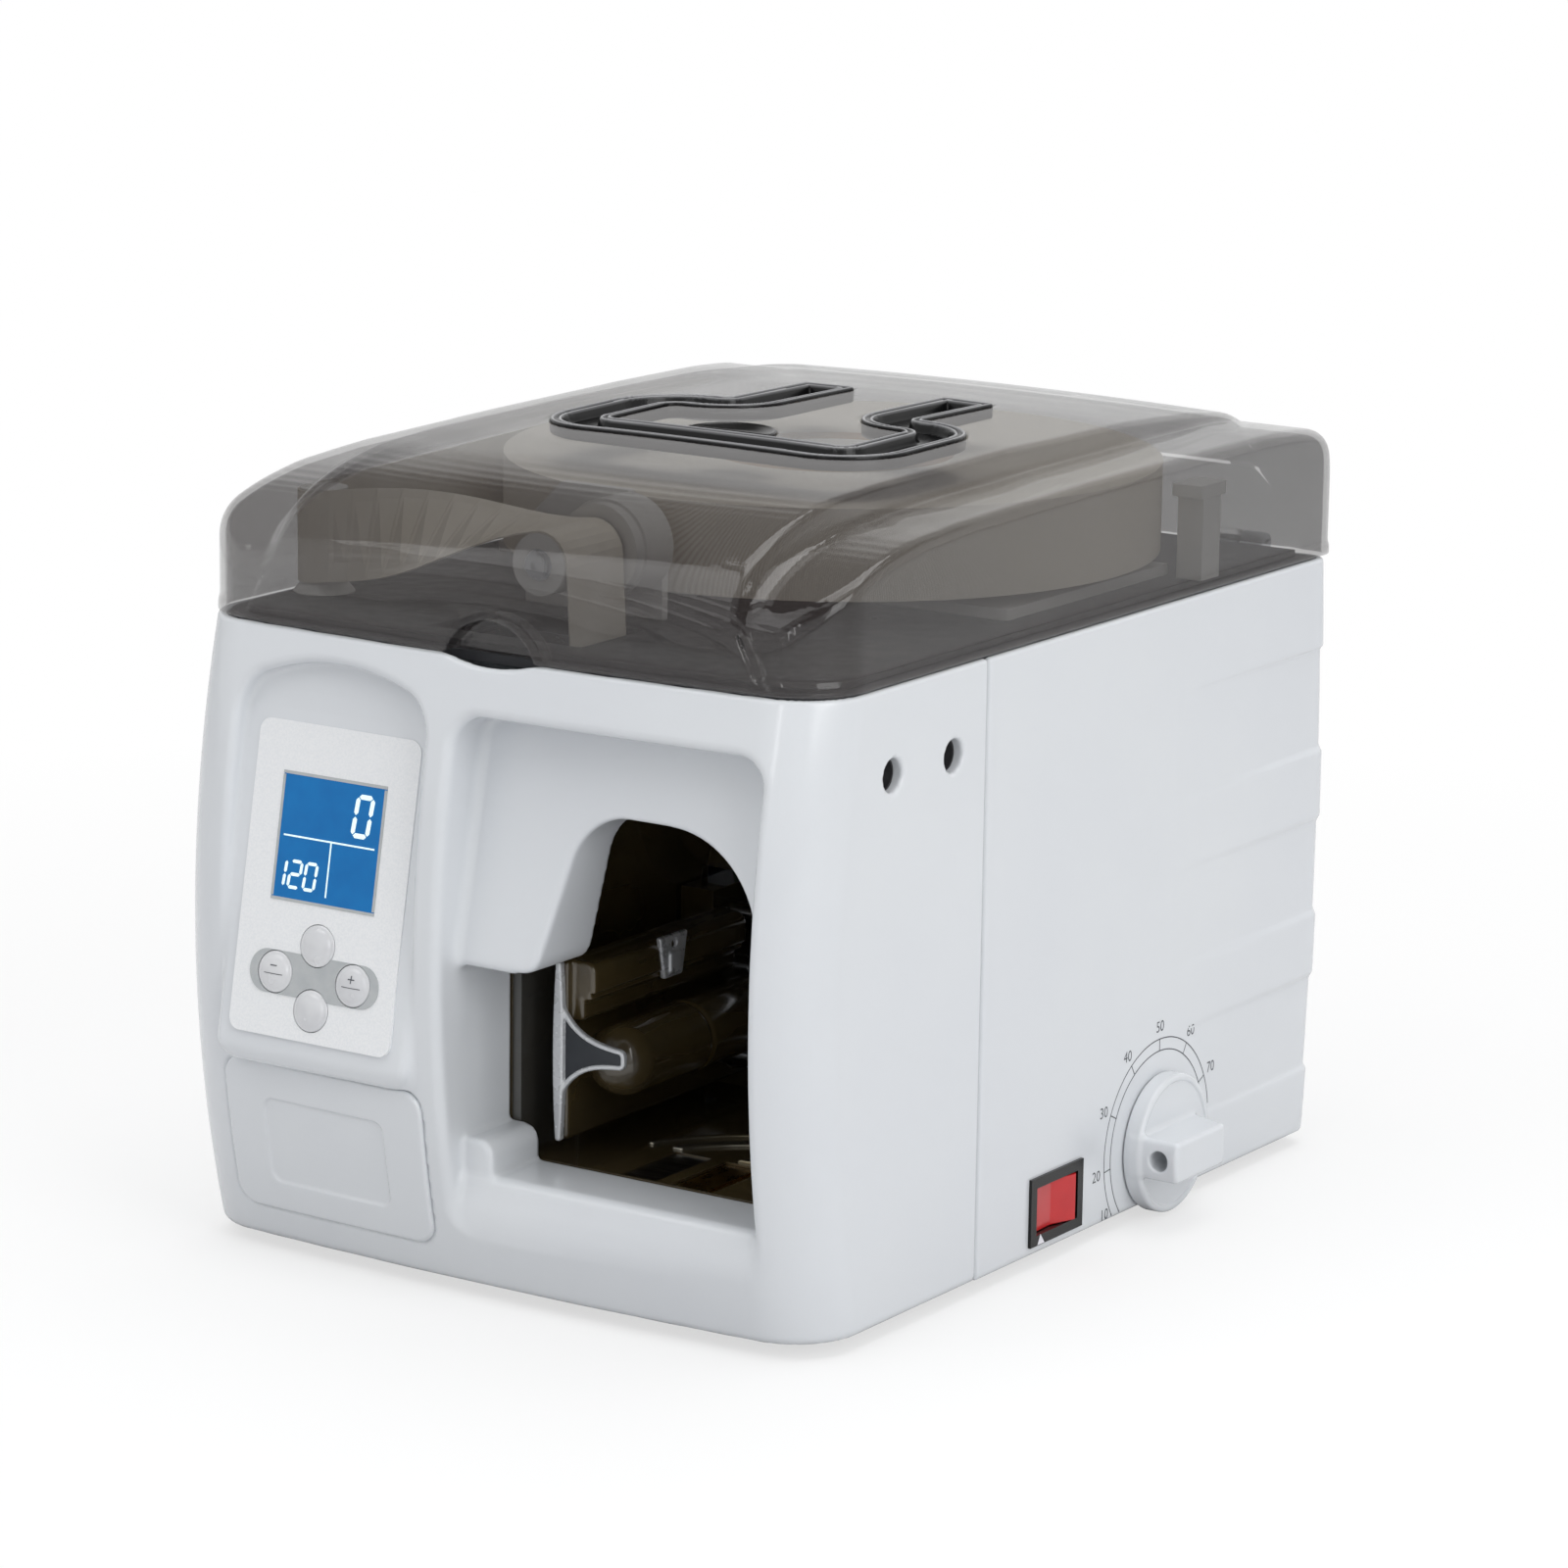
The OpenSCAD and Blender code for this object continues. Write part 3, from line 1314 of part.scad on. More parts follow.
module power_inlet() {
    back = inlet_seat;
    placed() color("#17171a") difference() {
        union() {
            translate([inlet_x - 16.5, back, inlet_z - 12.5]) cube([33, 2, 25]);
            translate([inlet_x - 13.7, back - 18, inlet_z - 9.7]) cube([27.4, 18.5, 19.4]);
        }
        translate([inlet_x - 12, back - 14, inlet_z - 8]) cube([24, 20, 16]);
    }
    placed() color("#c4c7ca") for (dx = [-7, 0, 7])
        translate([inlet_x + dx - 1, back - 14.5, inlet_z + (dx == 0 ? 1 : -3)]) cube([2, 9, 4]);
}

base_plate();
rubber_feet();
front_cover();
rear_housing();
top_deck();
service_cover();
panel_plate();
lcd_window();
key_capsule();
key_clear();
key_minus();
key_plus();
key_enter();
panel_board();
switch_bezel();
switch_rocker();
dial_knob();
dial_shaft();
dial_pinion();
note_stop();
stop_rack();
stop_rails();
tape_roll();
roll_core();
reel_tray();
guide_post();
idler_bracket();
idler_hub();
idler_roller();
idler_bearing();
idler_screw();
tape_strip();
lid();
grip_inlay();
grip_pad();
hinge_pins();
lid_post();
left_frame();
right_frame();
bay_liner();
tape_track();
bay_bed();
press_plate();
press_edge();
press_bar();
press_carriage();
press_rods();
press_screw();
press_motor();
feed_frame();
feed_roller();
pinch_roller();
feed_motor();
feed_pinion();
clamp_jaw();
seal_head();
jaw_solenoids();
main_board();
power_supply();
power_inlet();
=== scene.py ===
"""Looks of the banknote strapping machine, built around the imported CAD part."""
import math

import bmesh
import bpy
import numpy as np
import openvdb as vdb
from mathutils import Matrix, Vector


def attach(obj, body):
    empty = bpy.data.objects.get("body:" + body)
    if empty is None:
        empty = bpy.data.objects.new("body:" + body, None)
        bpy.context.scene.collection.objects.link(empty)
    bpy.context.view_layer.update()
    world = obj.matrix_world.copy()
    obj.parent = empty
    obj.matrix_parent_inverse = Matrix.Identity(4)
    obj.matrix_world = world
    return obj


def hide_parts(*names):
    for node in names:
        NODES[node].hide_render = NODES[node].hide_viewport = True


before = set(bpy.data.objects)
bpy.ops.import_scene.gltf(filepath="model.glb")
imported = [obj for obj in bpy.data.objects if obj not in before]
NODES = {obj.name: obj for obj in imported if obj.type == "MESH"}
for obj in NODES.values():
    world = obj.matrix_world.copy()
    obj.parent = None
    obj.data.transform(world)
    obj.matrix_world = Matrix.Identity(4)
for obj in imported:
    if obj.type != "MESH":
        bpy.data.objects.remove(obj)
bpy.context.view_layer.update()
COARSE = 1.0

# The source draws in the casing's frame, in millimetres, and then moves everything by this much
SHIFT = np.array([-9.65, -144.1133, 4.0])


def place(p):
    """A point of the casing's frame, in millimetres, as a point of the part, in metres."""
    return Vector((np.asarray(p, float) + SHIFT) / 1000)


# ------------------------------------------------------------------ camera, floor and light
def add_camera():
    a, e, roll = map(math.radians, (33.4285, 12.7075, 0.84))
    back = Vector((math.sin(a) * math.cos(e), -math.cos(a) * math.cos(e), math.sin(e)))
    right = Vector((0, 0, 1)).cross(back).normalized()
    up = back.cross(right)
    r = math.cos(roll) * right + math.sin(roll) * up
    u = -math.sin(roll) * right + math.cos(roll) * up
    data = bpy.data.cameras.new("camera")
    data.sensor_width, data.lens = 36, 134.44
    data.clip_start, data.clip_end = 0.1, 20
    cam = bpy.data.objects.new("camera", data)
    bpy.context.scene.collection.objects.link(cam)
    at = place(86.4217 * r + 148.983 * u + 1735.843 * back)
    m = Matrix((r, u, back)).transposed().to_4x4()
    m.translation = at
    cam.matrix_world = m
    bpy.context.scene.camera = cam
    return cam


def tree(name):
    m = bpy.data.materials.new(name)
    m.use_nodes = True
    return m, m.node_tree.nodes, m.node_tree.links


def see_white(nodes, links, shader):
    """The camera, glossy and see-through rays find plain white; other rays find the shader."""
    path = nodes.new("ShaderNodeLightPath")
    total = None
    for key in ("Is Camera Ray", "Is Glossy Ray", "Is Transmission Ray"):
        if total is None:
            total = path.outputs[key]
            continue
        add = nodes.new("ShaderNodeMath")
        add.operation = "MAXIMUM"
        links.new(total, add.inputs[0])
        links.new(path.outputs[key], add.inputs[1])
        total = add.outputs[0]
    mix = nodes.new("ShaderNodeMixShader")
    links.new(total, mix.inputs[0])
    links.new(shader, mix.inputs[1])
    return mix


def add_world():
    w = bpy.data.worlds.new("studio")
    bpy.context.scene.world = w
    w.use_nodes = True
    n, l = w.node_tree.nodes, w.node_tree.links
    n.clear()
    out = n.new("ShaderNodeOutputWorld")
    dim, white = n.new("ShaderNodeBackground"), n.new("ShaderNodeBackground")
    dim.inputs["Strength"].default_value = 0.54
    dim.inputs["Color"].default_value = (0.98, 0.99, 1, 1)
    white.inputs["Strength"].default_value = 1.0
    mix = see_white(n, l, dim.outputs[0])
    # gloss finds the white backdrop near the horizon and a dark ceiling over it
    way = n.new("ShaderNodeTexCoord")
    part = n.new("ShaderNodeSeparateXYZ")
    l.new(way.outputs["Generated"], part.inputs[0])
    rise = n.new("ShaderNodeMapRange")
    rise.interpolation_type = "SMOOTHSTEP"
    for key, value in (("From Min", 0.42), ("From Max", 0.62), ("To Min", 1.0), ("To Max", 0.12)):
        rise.inputs[key].default_value = value
    l.new(part.outputs["Z"], rise.inputs["Value"])
    path = n.new("ShaderNodeLightPath")
    roof = n.new("ShaderNodeMath")
    roof.operation = "MAXIMUM"
    l.new(rise.outputs[0], roof.inputs[0])
    l.new(path.outputs["Is Camera Ray"], roof.inputs[1])
    l.new(roof.outputs[0], white.inputs["Strength"])
    l.new(white.outputs[0], mix.inputs[2])
    l.new(mix.outputs[0], out.inputs[0])


def add_floor():
    bpy.ops.mesh.primitive_plane_add(size=30, location=(0, 0, 0))
    floor = bpy.context.object
    floor.name = "floor"
    m, n, l = tree("floor_paper")
    n.clear()
    out = n.new("ShaderNodeOutputMaterial")
    p = n.new("ShaderNodeBsdfPrincipled")
    shade = n.new("ShaderNodeMix")
    shade.data_type = "RGBA"
    shade.inputs[6].default_value = (0.58, 0.58, 0.59, 1)
    shade.inputs[7].default_value = (0.84, 0.84, 0.84, 1)
    l.new(shade.outputs[2], p.inputs["Base Color"])
    p.inputs["Roughness"].default_value = 0.7
    glow = n.new("ShaderNodeEmission")
    glow.inputs["Strength"].default_value = 1
    # towards the distance the paper fades into the white backdrop
    geo = n.new("ShaderNodeNewGeometry")
    length = n.new("ShaderNodeVectorMath")
    length.operation = "LENGTH"
    ramp = n.new("ShaderNodeMapRange")
    ramp.inputs["From Min"].default_value = 0.32
    ramp.inputs["From Max"].default_value = 0.7
    ramp.inputs["To Min"].default_value = 0.65
    l.new(geo.outputs["Position"], length.inputs[0])
    l.new(length.outputs["Value"], ramp.inputs["Value"])
    path = n.new("ShaderNodeLightPath")
    mirror = n.new("ShaderNodeMath")
    mirror.operation = "MAXIMUM"
    l.new(path.outputs["Is Camera Ray"], mirror.inputs[0])
    l.new(path.outputs["Is Glossy Ray"], mirror.inputs[1])
    l.new(mirror.outputs[0], shade.inputs[0])
    seen = n.new("ShaderNodeMath")
    seen.operation = "MULTIPLY"
    l.new(path.outputs["Is Camera Ray"], seen.inputs[0])
    l.new(ramp.outputs[0], seen.inputs[1])
    mix = n.new("ShaderNodeMixShader")
    l.new(seen.outputs[0], mix.inputs[0])
    l.new(p.outputs[0], mix.inputs[1])
    l.new(glow.outputs[0], mix.inputs[2])
    l.new(mix.outputs[0], out.inputs[0])
    floor.data.materials.append(m)
    return floor


def add_light(name, at, aim, size, power, tint=(1, 1, 1)):
    data = bpy.data.lights.new(name, "AREA")
    data.shape, data.size, data.size_y = "RECTANGLE", size[0], size[1]
    data.energy, data.color = power, tint
    o = bpy.data.objects.new(name, data)
    bpy.context.scene.collection.objects.link(o)
    o.location = at
    o.rotation_euler = (Vector(aim) - Vector(at)).to_track_quat("-Z", "Y").to_euler()
    return o


# ------------------------------------------------------------------ materials
def lin(c):
    """sRGB 0..255 to linear."""
    return tuple((v / 255 / 12.92 if v / 255 <= 0.04045 else ((v / 255 + 0.055) / 1.055) ** 2.4) for v in c)


class Mat:
    """A Principled material with helpers for procedural detail."""

    def __init__(self, name, rgb, rough=0.4, metal=0.0, **fixed):
        self.m, self.n, self.l = tree(name)
        self.p = self.n["Principled BSDF"]
        self.p.inputs["Base Color"].default_value = (*lin(rgb), 1)
        self.p.inputs["Roughness"].default_value = rough
        self.p.inputs["Metallic"].default_value = metal
        for k, v in fixed.items():
            self.p.inputs[k.replace("_", " ")].default_value = v
        self.rgb, self.rough = lin(rgb), rough
        self.coord = self.n.new("ShaderNodeTexCoord").outputs["Object"]
        self.height = None

    def scaled(self, scale):
        node = self.n.new("ShaderNodeMapping")
        node.inputs["Scale"].default_value = scale
        self.l.new(self.coord, node.inputs["Vector"])
        return node.outputs[0]

    def noise(self, scale, detail=3.0, stretch=None, rough=0.55):
        node = self.n.new("ShaderNodeTexNoise")
        node.inputs["Scale"].default_value = 1.0
        node.inputs["Detail"].default_value = detail
        node.inputs["Roughness"].default_value = rough
        s = [scale] * 3 if stretch is None else [scale * k for k in stretch]
        self.l.new(self.scaled(s), node.inputs["Vector"])
        return node.outputs["Fac"]

    def spread(self, value, lo, hi, start=0.3, end=0.7):
        node = self.n.new("ShaderNodeMapRange")
        node.inputs["From Min"].default_value = start
        node.inputs["From Max"].default_value = end
        node.inputs["To Min"].default_value = lo
        node.inputs["To Max"].default_value = hi
        self.l.new(value, node.inputs["Value"])
        return node.outputs[0]

    def vary_rough(self, value, amount):
        self.l.new(self.spread(value, max(0.02, self.rough - amount), min(1, self.rough + amount)),
                   self.p.inputs["Roughness"])
        return self

    def vary_colour(self, value, other, start=0.35, end=0.65):
        mix = self.n.new("ShaderNodeMix")
        mix.data_type = "RGBA"
        mix.inputs[6].default_value = (*self.rgb, 1)
        mix.inputs[7].default_value = (*lin(other), 1)
        old = self.p.inputs["Base Color"].links
        if old:
            self.l.new(old[0].from_socket, mix.inputs[6])
        self.l.new(self.spread(value, 0, 1, start, end), mix.inputs[0])
        self.l.new(mix.outputs[2], self.p.inputs["Base Color"])
        return self

    def bump(self, value, distance, strength=1.0):
        node = self.n.new("ShaderNodeBump")
        node.inputs["Strength"].default_value = strength
        node.inputs["Distance"].default_value = distance
        self.l.new(value, node.inputs["Height"])
        if self.height is not None:
            self.l.new(self.height, node.inputs["Normal"])
        self.height = node.outputs[0]
        self.l.new(self.height, self.p.inputs["Normal"])
        return self

    def edges(self, radius):
        """Rounded edges in the shading, for small hard parts."""
        node = self.n.new("ShaderNodeBevel")
        node.samples = 4
        node.inputs["Radius"].default_value = radius
        self.height = node.outputs[0]
        self.l.new(self.height, self.p.inputs["Normal"])
        return self


MATS = {}
SOFT = 0.0005


def make_materials():
    m = Mat("white_shell", (220, 223, 226), 0.22, Specular_IOR_Level=0.5, Coat_Weight=0.3,
            Coat_Roughness=0.06)
    m.vary_colour(m.noise(9, 4), (217, 220, 224)).vary_rough(m.noise(70, 4), 0.045)
    m.bump(m.noise(1300, 2), 0.000012).bump(m.noise(16, 2), 0.0002, 0.35)
    MATS["white"] = m
    m = Mat("smoky_lid", (58, 53, 52), 0.06, Specular_IOR_Level=0.5, Alpha=0.4, Coat_Weight=0.75,
            Coat_IOR=1.6, Coat_Roughness=0.03)
    m.vary_rough(m.noise(40, 4), 0.02).vary_colour(m.noise(12, 3), (64, 58, 57))
    m.bump(m.noise(14, 2), 0.0002, 0.2)
    MATS["smoky"] = m
    m = Mat("gloss_black", (12, 12, 13), 0.2, Specular_IOR_Level=0.35)
    m.vary_rough(m.noise(90, 4), 0.05).vary_colour(m.noise(25, 4), (20, 19, 18))
    m.bump(m.noise(22, 2), 0.0002, 0.3)
    MATS["black"] = m
    m = Mat("grip_black", (10, 10, 11), 0.22, Specular_IOR_Level=0.3)
    m.vary_rough(m.noise(90, 4), 0.05)
    # painted highlight: light grey lines are mixed into the black along the channel's ridges, where gloss
    # would catch them
    painted_ridge_highlight = m.n.new("ShaderNodeAttribute")
    painted_ridge_highlight.attribute_name = "painted_ridge_highlight"
    m.vary_colour(painted_ridge_highlight.outputs["Fac"], (150, 150, 152), 0.1, 0.9)
    m.bump(m.noise(22, 2), 0.0002, 0.3)
    MATS["grip"] = m
    m = Mat("horn_dark", (44, 47, 52), 0.4, Specular_IOR_Level=0.3)
    m.vary_colour(m.noise(60, 3), (52, 55, 60)).bump(m.noise(900, 2), 0.00001)
    MATS["inlay"] = m
    m = Mat("satin_light", (208, 210, 212), 0.28, 0.3)
    m.vary_rough(m.noise(200, 3), 0.06).vary_colour(m.noise(60, 3), (198, 200, 203))
    m.bump(m.noise(900, 2), 0.00001)
    MATS["blade"] = m
    m = Mat("guide_steel", (156, 154, 146), 0.16, 0.85)
    m.vary_rough(m.noise(80, 3), 0.05).vary_colour(m.noise(20, 3), (132, 122, 98))
    m.bump(m.noise(60, 2), 0.0001, 0.3)
    MATS["guide"] = m
    m = Mat("bay_black", (52, 45, 32), 0.14, Specular_IOR_Level=0.5, Coat_Weight=0.6, Coat_IOR=1.5,
            Coat_Roughness=0.05).edges(SOFT)
    m.vary_rough(m.noise(60, 4), 0.05).vary_colour(m.noise(18, 4), (78, 66, 42))
    m.bump(m.noise(25, 2), 0.0004, 0.4)
    MATS["bay"] = m
    m = Mat("matt_black", (30, 30, 32), 0.5)
    m.vary_rough(m.noise(300, 3), 0.08).vary_colour(m.noise(30, 4), (38, 38, 40))
    m.bump(m.noise(2200, 2), 0.00003)
    MATS["matt"] = m
    m = Mat("rubber", (26, 26, 27), 0.75)
    m.vary_colour(m.noise(60, 4), (40, 39, 38)).bump(m.noise(900, 3), 0.00008)
    MATS["rubber"] = m
    m = Mat("deck_grey", (58, 59, 63), 0.45).edges(SOFT)
    m.vary_rough(m.noise(200, 3), 0.08).vary_colour(m.noise(14, 4), (66, 67, 70))
    m.bump(m.noise(1700, 2), 0.00003)
    MATS["deck"] = m
    m = Mat("steel_sheet", (166, 170, 174), 0.36, 1.0).edges(SOFT)
    m.vary_rough(m.noise(120, 4, (1, 0.06, 1)), 0.1).vary_colour(m.noise(30, 4), (146, 150, 154))
    m.bump(m.noise(900, 3, (1, 0.04, 1)), 0.00002)
    MATS["steel"] = m
    m = Mat("ground_steel", (196, 199, 203), 0.2, 1.0)
    m.vary_rough(m.noise(500, 3, (0.05, 1, 1)), 0.07)
    m.bump(m.noise(2500, 2, (0.03, 1, 1)), 0.00001)
    MATS["rod"] = m
    m = Mat("chrome", (214, 216, 220), 0.08, 1.0)
    m.vary_rough(m.noise(120, 3), 0.03).bump(m.noise(60, 2), 0.0001, 0.3)
    MATS["chrome"] = m
    m = Mat("brushed_plate", (240, 241, 242), 0.4, 0.08)
    m.vary_rough(m.noise(900, 3), 0.08).vary_colour(m.noise(1500, 2), (233, 235, 237))
    m.bump(m.noise(2600, 2), 0.000015)
    MATS["plate"] = m
    m = Mat("capsule_grey", (184, 187, 188), 0.45)
    m.vary_colour(m.noise(200, 3), (176, 180, 182)).bump(m.noise(2200, 2), 0.00002)
    MATS["capsule"] = m
    m = Mat("key_pearl", (218, 219, 221), 0.24, 0.1, Coat_Weight=0.4, Coat_Roughness=0.1)
    m.vary_colour(m.noise(80, 3), (208, 209, 212)).vary_rough(m.noise(120, 3), 0.04)
    m.bump(m.noise(1500, 2), 0.00001)
    MATS["key"] = m
    m = Mat("display_blue", (2, 92, 156), 0.16, Specular_IOR_Level=0.3, Emission_Strength=0.2)
    m.p.inputs["Emission Color"].default_value = (*lin((0, 116, 180)), 1)
    m.vary_colour(m.noise(60, 3), (6, 104, 168)).vary_rough(m.noise(200, 2), 0.03)
    m.bump(m.noise(30, 2), 0.00008, 0.3)
    MATS["lcd"] = m
    m = Mat("display_white", (228, 246, 244), 0.4, Emission_Strength=0.4)
    m.p.inputs["Emission Color"].default_value = (*lin((225, 248, 246)), 1)
    m.vary_colour(m.noise(400, 2), (214, 240, 240)).bump(m.noise(900, 2), 0.00001)
    MATS["digit"] = m
    m = Mat("print_grey", (66, 68, 74), 0.55)
    m.vary_colour(m.noise(500, 3), (86, 88, 94)).bump(m.noise(2500, 2), 0.00001)
    MATS["print"] = m
    m = Mat("red_rocker", (206, 26, 30), 0.22, Coat_Weight=0.3, Coat_Roughness=0.1).edges(SOFT)
    m.vary_colour(m.noise(60, 3), (190, 20, 26)).vary_rough(m.noise(200, 3), 0.05)
    m.bump(m.noise(700, 2), 0.00002)
    MATS["red"] = m
    m = Mat("paper_roll", (232, 226, 214), 0.8)
    rings = m.n.new("ShaderNodeTexWave")
    rings.wave_type, rings.bands_direction = "RINGS", "Z"
    rings.inputs["Scale"].default_value = 900
    rings.inputs["Distortion"].default_value = 0.6
    rings.inputs["Detail"].default_value = 1
    shift = m.n.new("ShaderNodeVectorMath")
    shift.operation = "SUBTRACT"
    shift.inputs[1].default_value = place((0, 178, 199.3))
    m.l.new(m.coord, shift.inputs[0])
    m.l.new(shift.outputs[0], rings.inputs["Vector"])
    m.vary_colour(rings.outputs["Fac"], (214, 206, 190), 0.2, 1.0)
    m.vary_colour(m.noise(25, 4), (224, 216, 200), 0.4, 0.8)
    m.bump(rings.outputs["Fac"], 0.00008, 0.6).bump(m.noise(1500, 2, (1, 1, 0.1)), 0.00002)
    MATS["roll"] = m
    m = Mat("paper_tape", (230, 224, 212), 0.78)
    m.vary_colour(m.noise(40, 4), (220, 213, 198)).bump(m.noise(1800, 3), 0.00002)
    MATS["tape"] = m
    m = Mat("card_core", (176, 142, 96), 0.85)
    m.vary_colour(m.noise(60, 5), (154, 120, 78)).bump(m.noise(900, 3), 0.00006)
    MATS["card"] = m
    m = Mat("pale_plastic", (226, 225, 221), 0.42).edges(SOFT)
    m.vary_colour(m.noise(20, 4), (216, 215, 211)).vary_rough(m.noise(150, 3), 0.06)
    m.bump(m.noise(1600, 2), 0.00002)
    MATS["pale"] = m
    m = Mat("brass", (176, 140, 74), 0.3, 1.0)
    m.vary_rough(m.noise(200, 3), 0.08).vary_colour(m.noise(60, 4), (150, 116, 58))
    m.bump(m.noise(1500, 2), 0.00001)
    MATS["brass"] = m
    m = Mat("nylon_gear", (222, 212, 186), 0.45)
    m.vary_colour(m.noise(60, 3), (210, 200, 172)).bump(m.noise(1400, 2), 0.00002)
    MATS["nylon"] = m
    m = Mat("circuit_green", (34, 92, 54), 0.35)
    m.vary_colour(m.noise(420, 3), (46, 118, 70), 0.48, 0.56).vary_rough(m.noise(300, 3), 0.1)
    m.bump(m.noise(420, 3), 0.00006)
    MATS["board"] = m
    m = Mat("cast_grey", (128, 132, 137), 0.42, 0.7).edges(SOFT)
    m.vary_colour(m.noise(80, 4), (110, 114, 119)).vary_rough(m.noise(300, 3), 0.1)
    m.bump(m.noise(1000, 3), 0.00004)
    MATS["cast"] = m
    m = Mat("track_grey", (74, 73, 70), 0.14, Specular_IOR_Level=0.9, Coat_Weight=0.8, Coat_Roughness=0.05)
    m.vary_rough(m.noise(50, 4), 0.05).vary_colour(m.noise(20, 4), (58, 55, 48))
    m.bump(m.noise(22, 2), 0.0003, 0.4)
    MATS["track"] = m
    m = Mat("print_white", (238, 236, 242), 0.45)
    m.vary_colour(m.noise(500, 3), (226, 224, 232)).bump(m.noise(2500, 2), 0.00001)
    MATS["mark"] = m


FINISH = {
    "white": "front_cover rear_housing service_cover dial_knob",
    "smoky": "lid",
    "black": "grip_inlay grip_pad switch_bezel power_inlet",
    "bay": "bay_liner bay_bed press_plate press_bar note_stop press_carriage",
    "track": "tape_track",
    "rubber": "rubber_feet feed_roller pinch_roller",
    "deck": "top_deck",
    "steel": "base_plate left_frame right_frame stop_rails feed_frame power_supply",
    "rod": "press_rods press_screw dial_shaft stop_rack hinge_pins idler_screw idler_bearing clamp_jaw",
    "chrome": "press_edge",
    "plate": "panel_plate",
    "capsule": "key_capsule",
    "key": "key_clear key_minus key_plus key_enter",
    "lcd": "lcd_window",
    "red": "switch_rocker",
    "roll": "tape_roll",
    "tape": "tape_strip",
    "card": "roll_core",
    "pale": "reel_tray guide_post idler_bracket idler_hub idler_roller lid_post",
    "brass": "seal_head",
    "nylon": "dial_pinion feed_pinion",
    "board": "panel_board main_board",
    "cast": "press_motor feed_motor jaw_solenoids",
}


def dress(obj, key):
    obj.data.materials.clear()
    obj.data.materials.append(MATS[key].m)
    return obj


def finish_of(node):
    return next(k for k, names in FINISH.items() if node in names.split())


# ------------------------------------------------------------------ distance fields
def rmax(a, b, r):
    """Common part of two fields with a rounded outer edge."""
    return np.minimum(np.maximum(a, b), -r) + np.hypot(np.maximum(a + r, 0), np.maximum(b + r, 0))


def rmin(a, b, r):
    """Sum of two fields with a filleted inner edge."""
    return -rmax(-a, -b, r)


def cut(a, b, r=0.0):
    return rmax(a, -b, r) if r else np.maximum(a, -b)


def slab(v, lo, hi):
    return np.abs(v - (lo + hi) / 2) - (hi - lo) / 2


def block(r, x, y, z):
    """A plain box between three pairs of limits."""
    return np.maximum(np.maximum(slab(r.x, *x), slab(r.y, *y)), slab(r.z, *z))


def step(t):
    t = np.clip(t, 0, 1)
    return t * t * (3 - 2 * t)


def outline_field(px, py, pts):
    """Signed distance to a closed polygon, negative inside."""
    pts = np.asarray(pts, float)
    best = np.full(np.broadcast(px, py).shape, 1e9)
    inside = np.zeros(best.shape, bool)
    for (x0, y0), (x1, y1) in zip(pts, np.roll(pts, -1, 0)):
        dx, dy = x1 - x0, y1 - y0
        n = dx * dx + dy * dy
        if n < 1e-12:
            continue
        t = np.clip(((px - x0) * dx + (py - y0) * dy) / n, 0, 1)
        best = np.minimum(best, np.hypot(px - x0 - t * dx, py - y0 - t * dy))
        if abs(dy) > 1e-12:
            crosses = (py >= min(y0, y1)) & (py < max(y0, y1))
            inside ^= crosses & (px < x0 + (py - y0) * dx / dy)
    return np.where(inside, -best, best).astype(np.float32)


def arc(cx, cy, r, a0, a1, n=10):
    a = np.radians(np.linspace(a0, a1, n + 1))
    return [(cx + r * math.cos(v), cy + r * math.sin(v)) for v in a]


class Room:
    """A box of samples in the casing's frame."""

    def __init__(self, lo, hi, h):
        self.lo, self.h = np.array(lo, float), h
        self.ax = [np.arange(lo[i], hi[i] + h, h).astype(np.float32) for i in range(3)]
        self.x = self.ax[0][:, None, None]
        self.y = self.ax[1][None, :, None]
        self.z = self.ax[2][None, None, :]
        self.shape = tuple(len(a) for a in self.ax)

    def sample(self, f, p):
        q = (p - self.lo) / self.h
        q = np.clip(q, 0, np.array(self.shape) - 1.001)
        i = q.astype(int)
        t = q - i
        out = 0
        for dx in (0, 1):
            for dy in (0, 1):
                for dz in (0, 1):
                    w = ((t[:, 0] if dx else 1 - t[:, 0]) * (t[:, 1] if dy else 1 - t[:, 1])
                         * (t[:, 2] if dz else 1 - t[:, 2]))
                    out = out + w * f[i[:, 0] + dx, i[:, 1] + dy, i[:, 2] + dz]
        return out

    def mesh(self, name, f, settle=2, span=0.6):
        """The surface where the field is zero, with its smooth normals."""
        f = np.ascontiguousarray(np.broadcast_to(f, self.shape), dtype=np.float32)
        g = vdb.FloatGrid(background=3.0 * self.h)
        g.copyFromArray(np.clip(f, -3 * self.h, 3 * self.h))
        pts, tris, quads = g.convertToPolygons(isovalue=0.0, adaptivity=0.0)
        p = pts.astype(float) * self.h + self.lo
        e = span * self.h

        def slope(p):
            n = np.stack([self.sample(f, p + d) - self.sample(f, p - d) for d in np.eye(3) * e], 1) / (2 * e)
            size = np.linalg.norm(n, axis=1, keepdims=True)
            return n / np.maximum(size, 1e-6), size[:, 0]

        for _ in range(settle):
            n, size = slope(p)
            move = np.clip(self.sample(f, p) / np.maximum(size, 0.3), -0.5 * self.h, 0.5 * self.h)
            p = p - n * move[:, None] * 0.8
        n, _ = slope(p)
        me = bpy.data.meshes.new(name)
        faces = [tuple(q) for q in quads.tolist()] + [tuple(t) for t in tris.tolist()]
        me.from_pydata(((p + SHIFT) / 1000).tolist(), [], faces)
        me.update()
        me.shade_smooth()
        me.normals_split_custom_set_from_vertices(n.tolist())
        o = bpy.data.objects.new(name, me)
        bpy.context.scene.collection.objects.link(o)
        return o


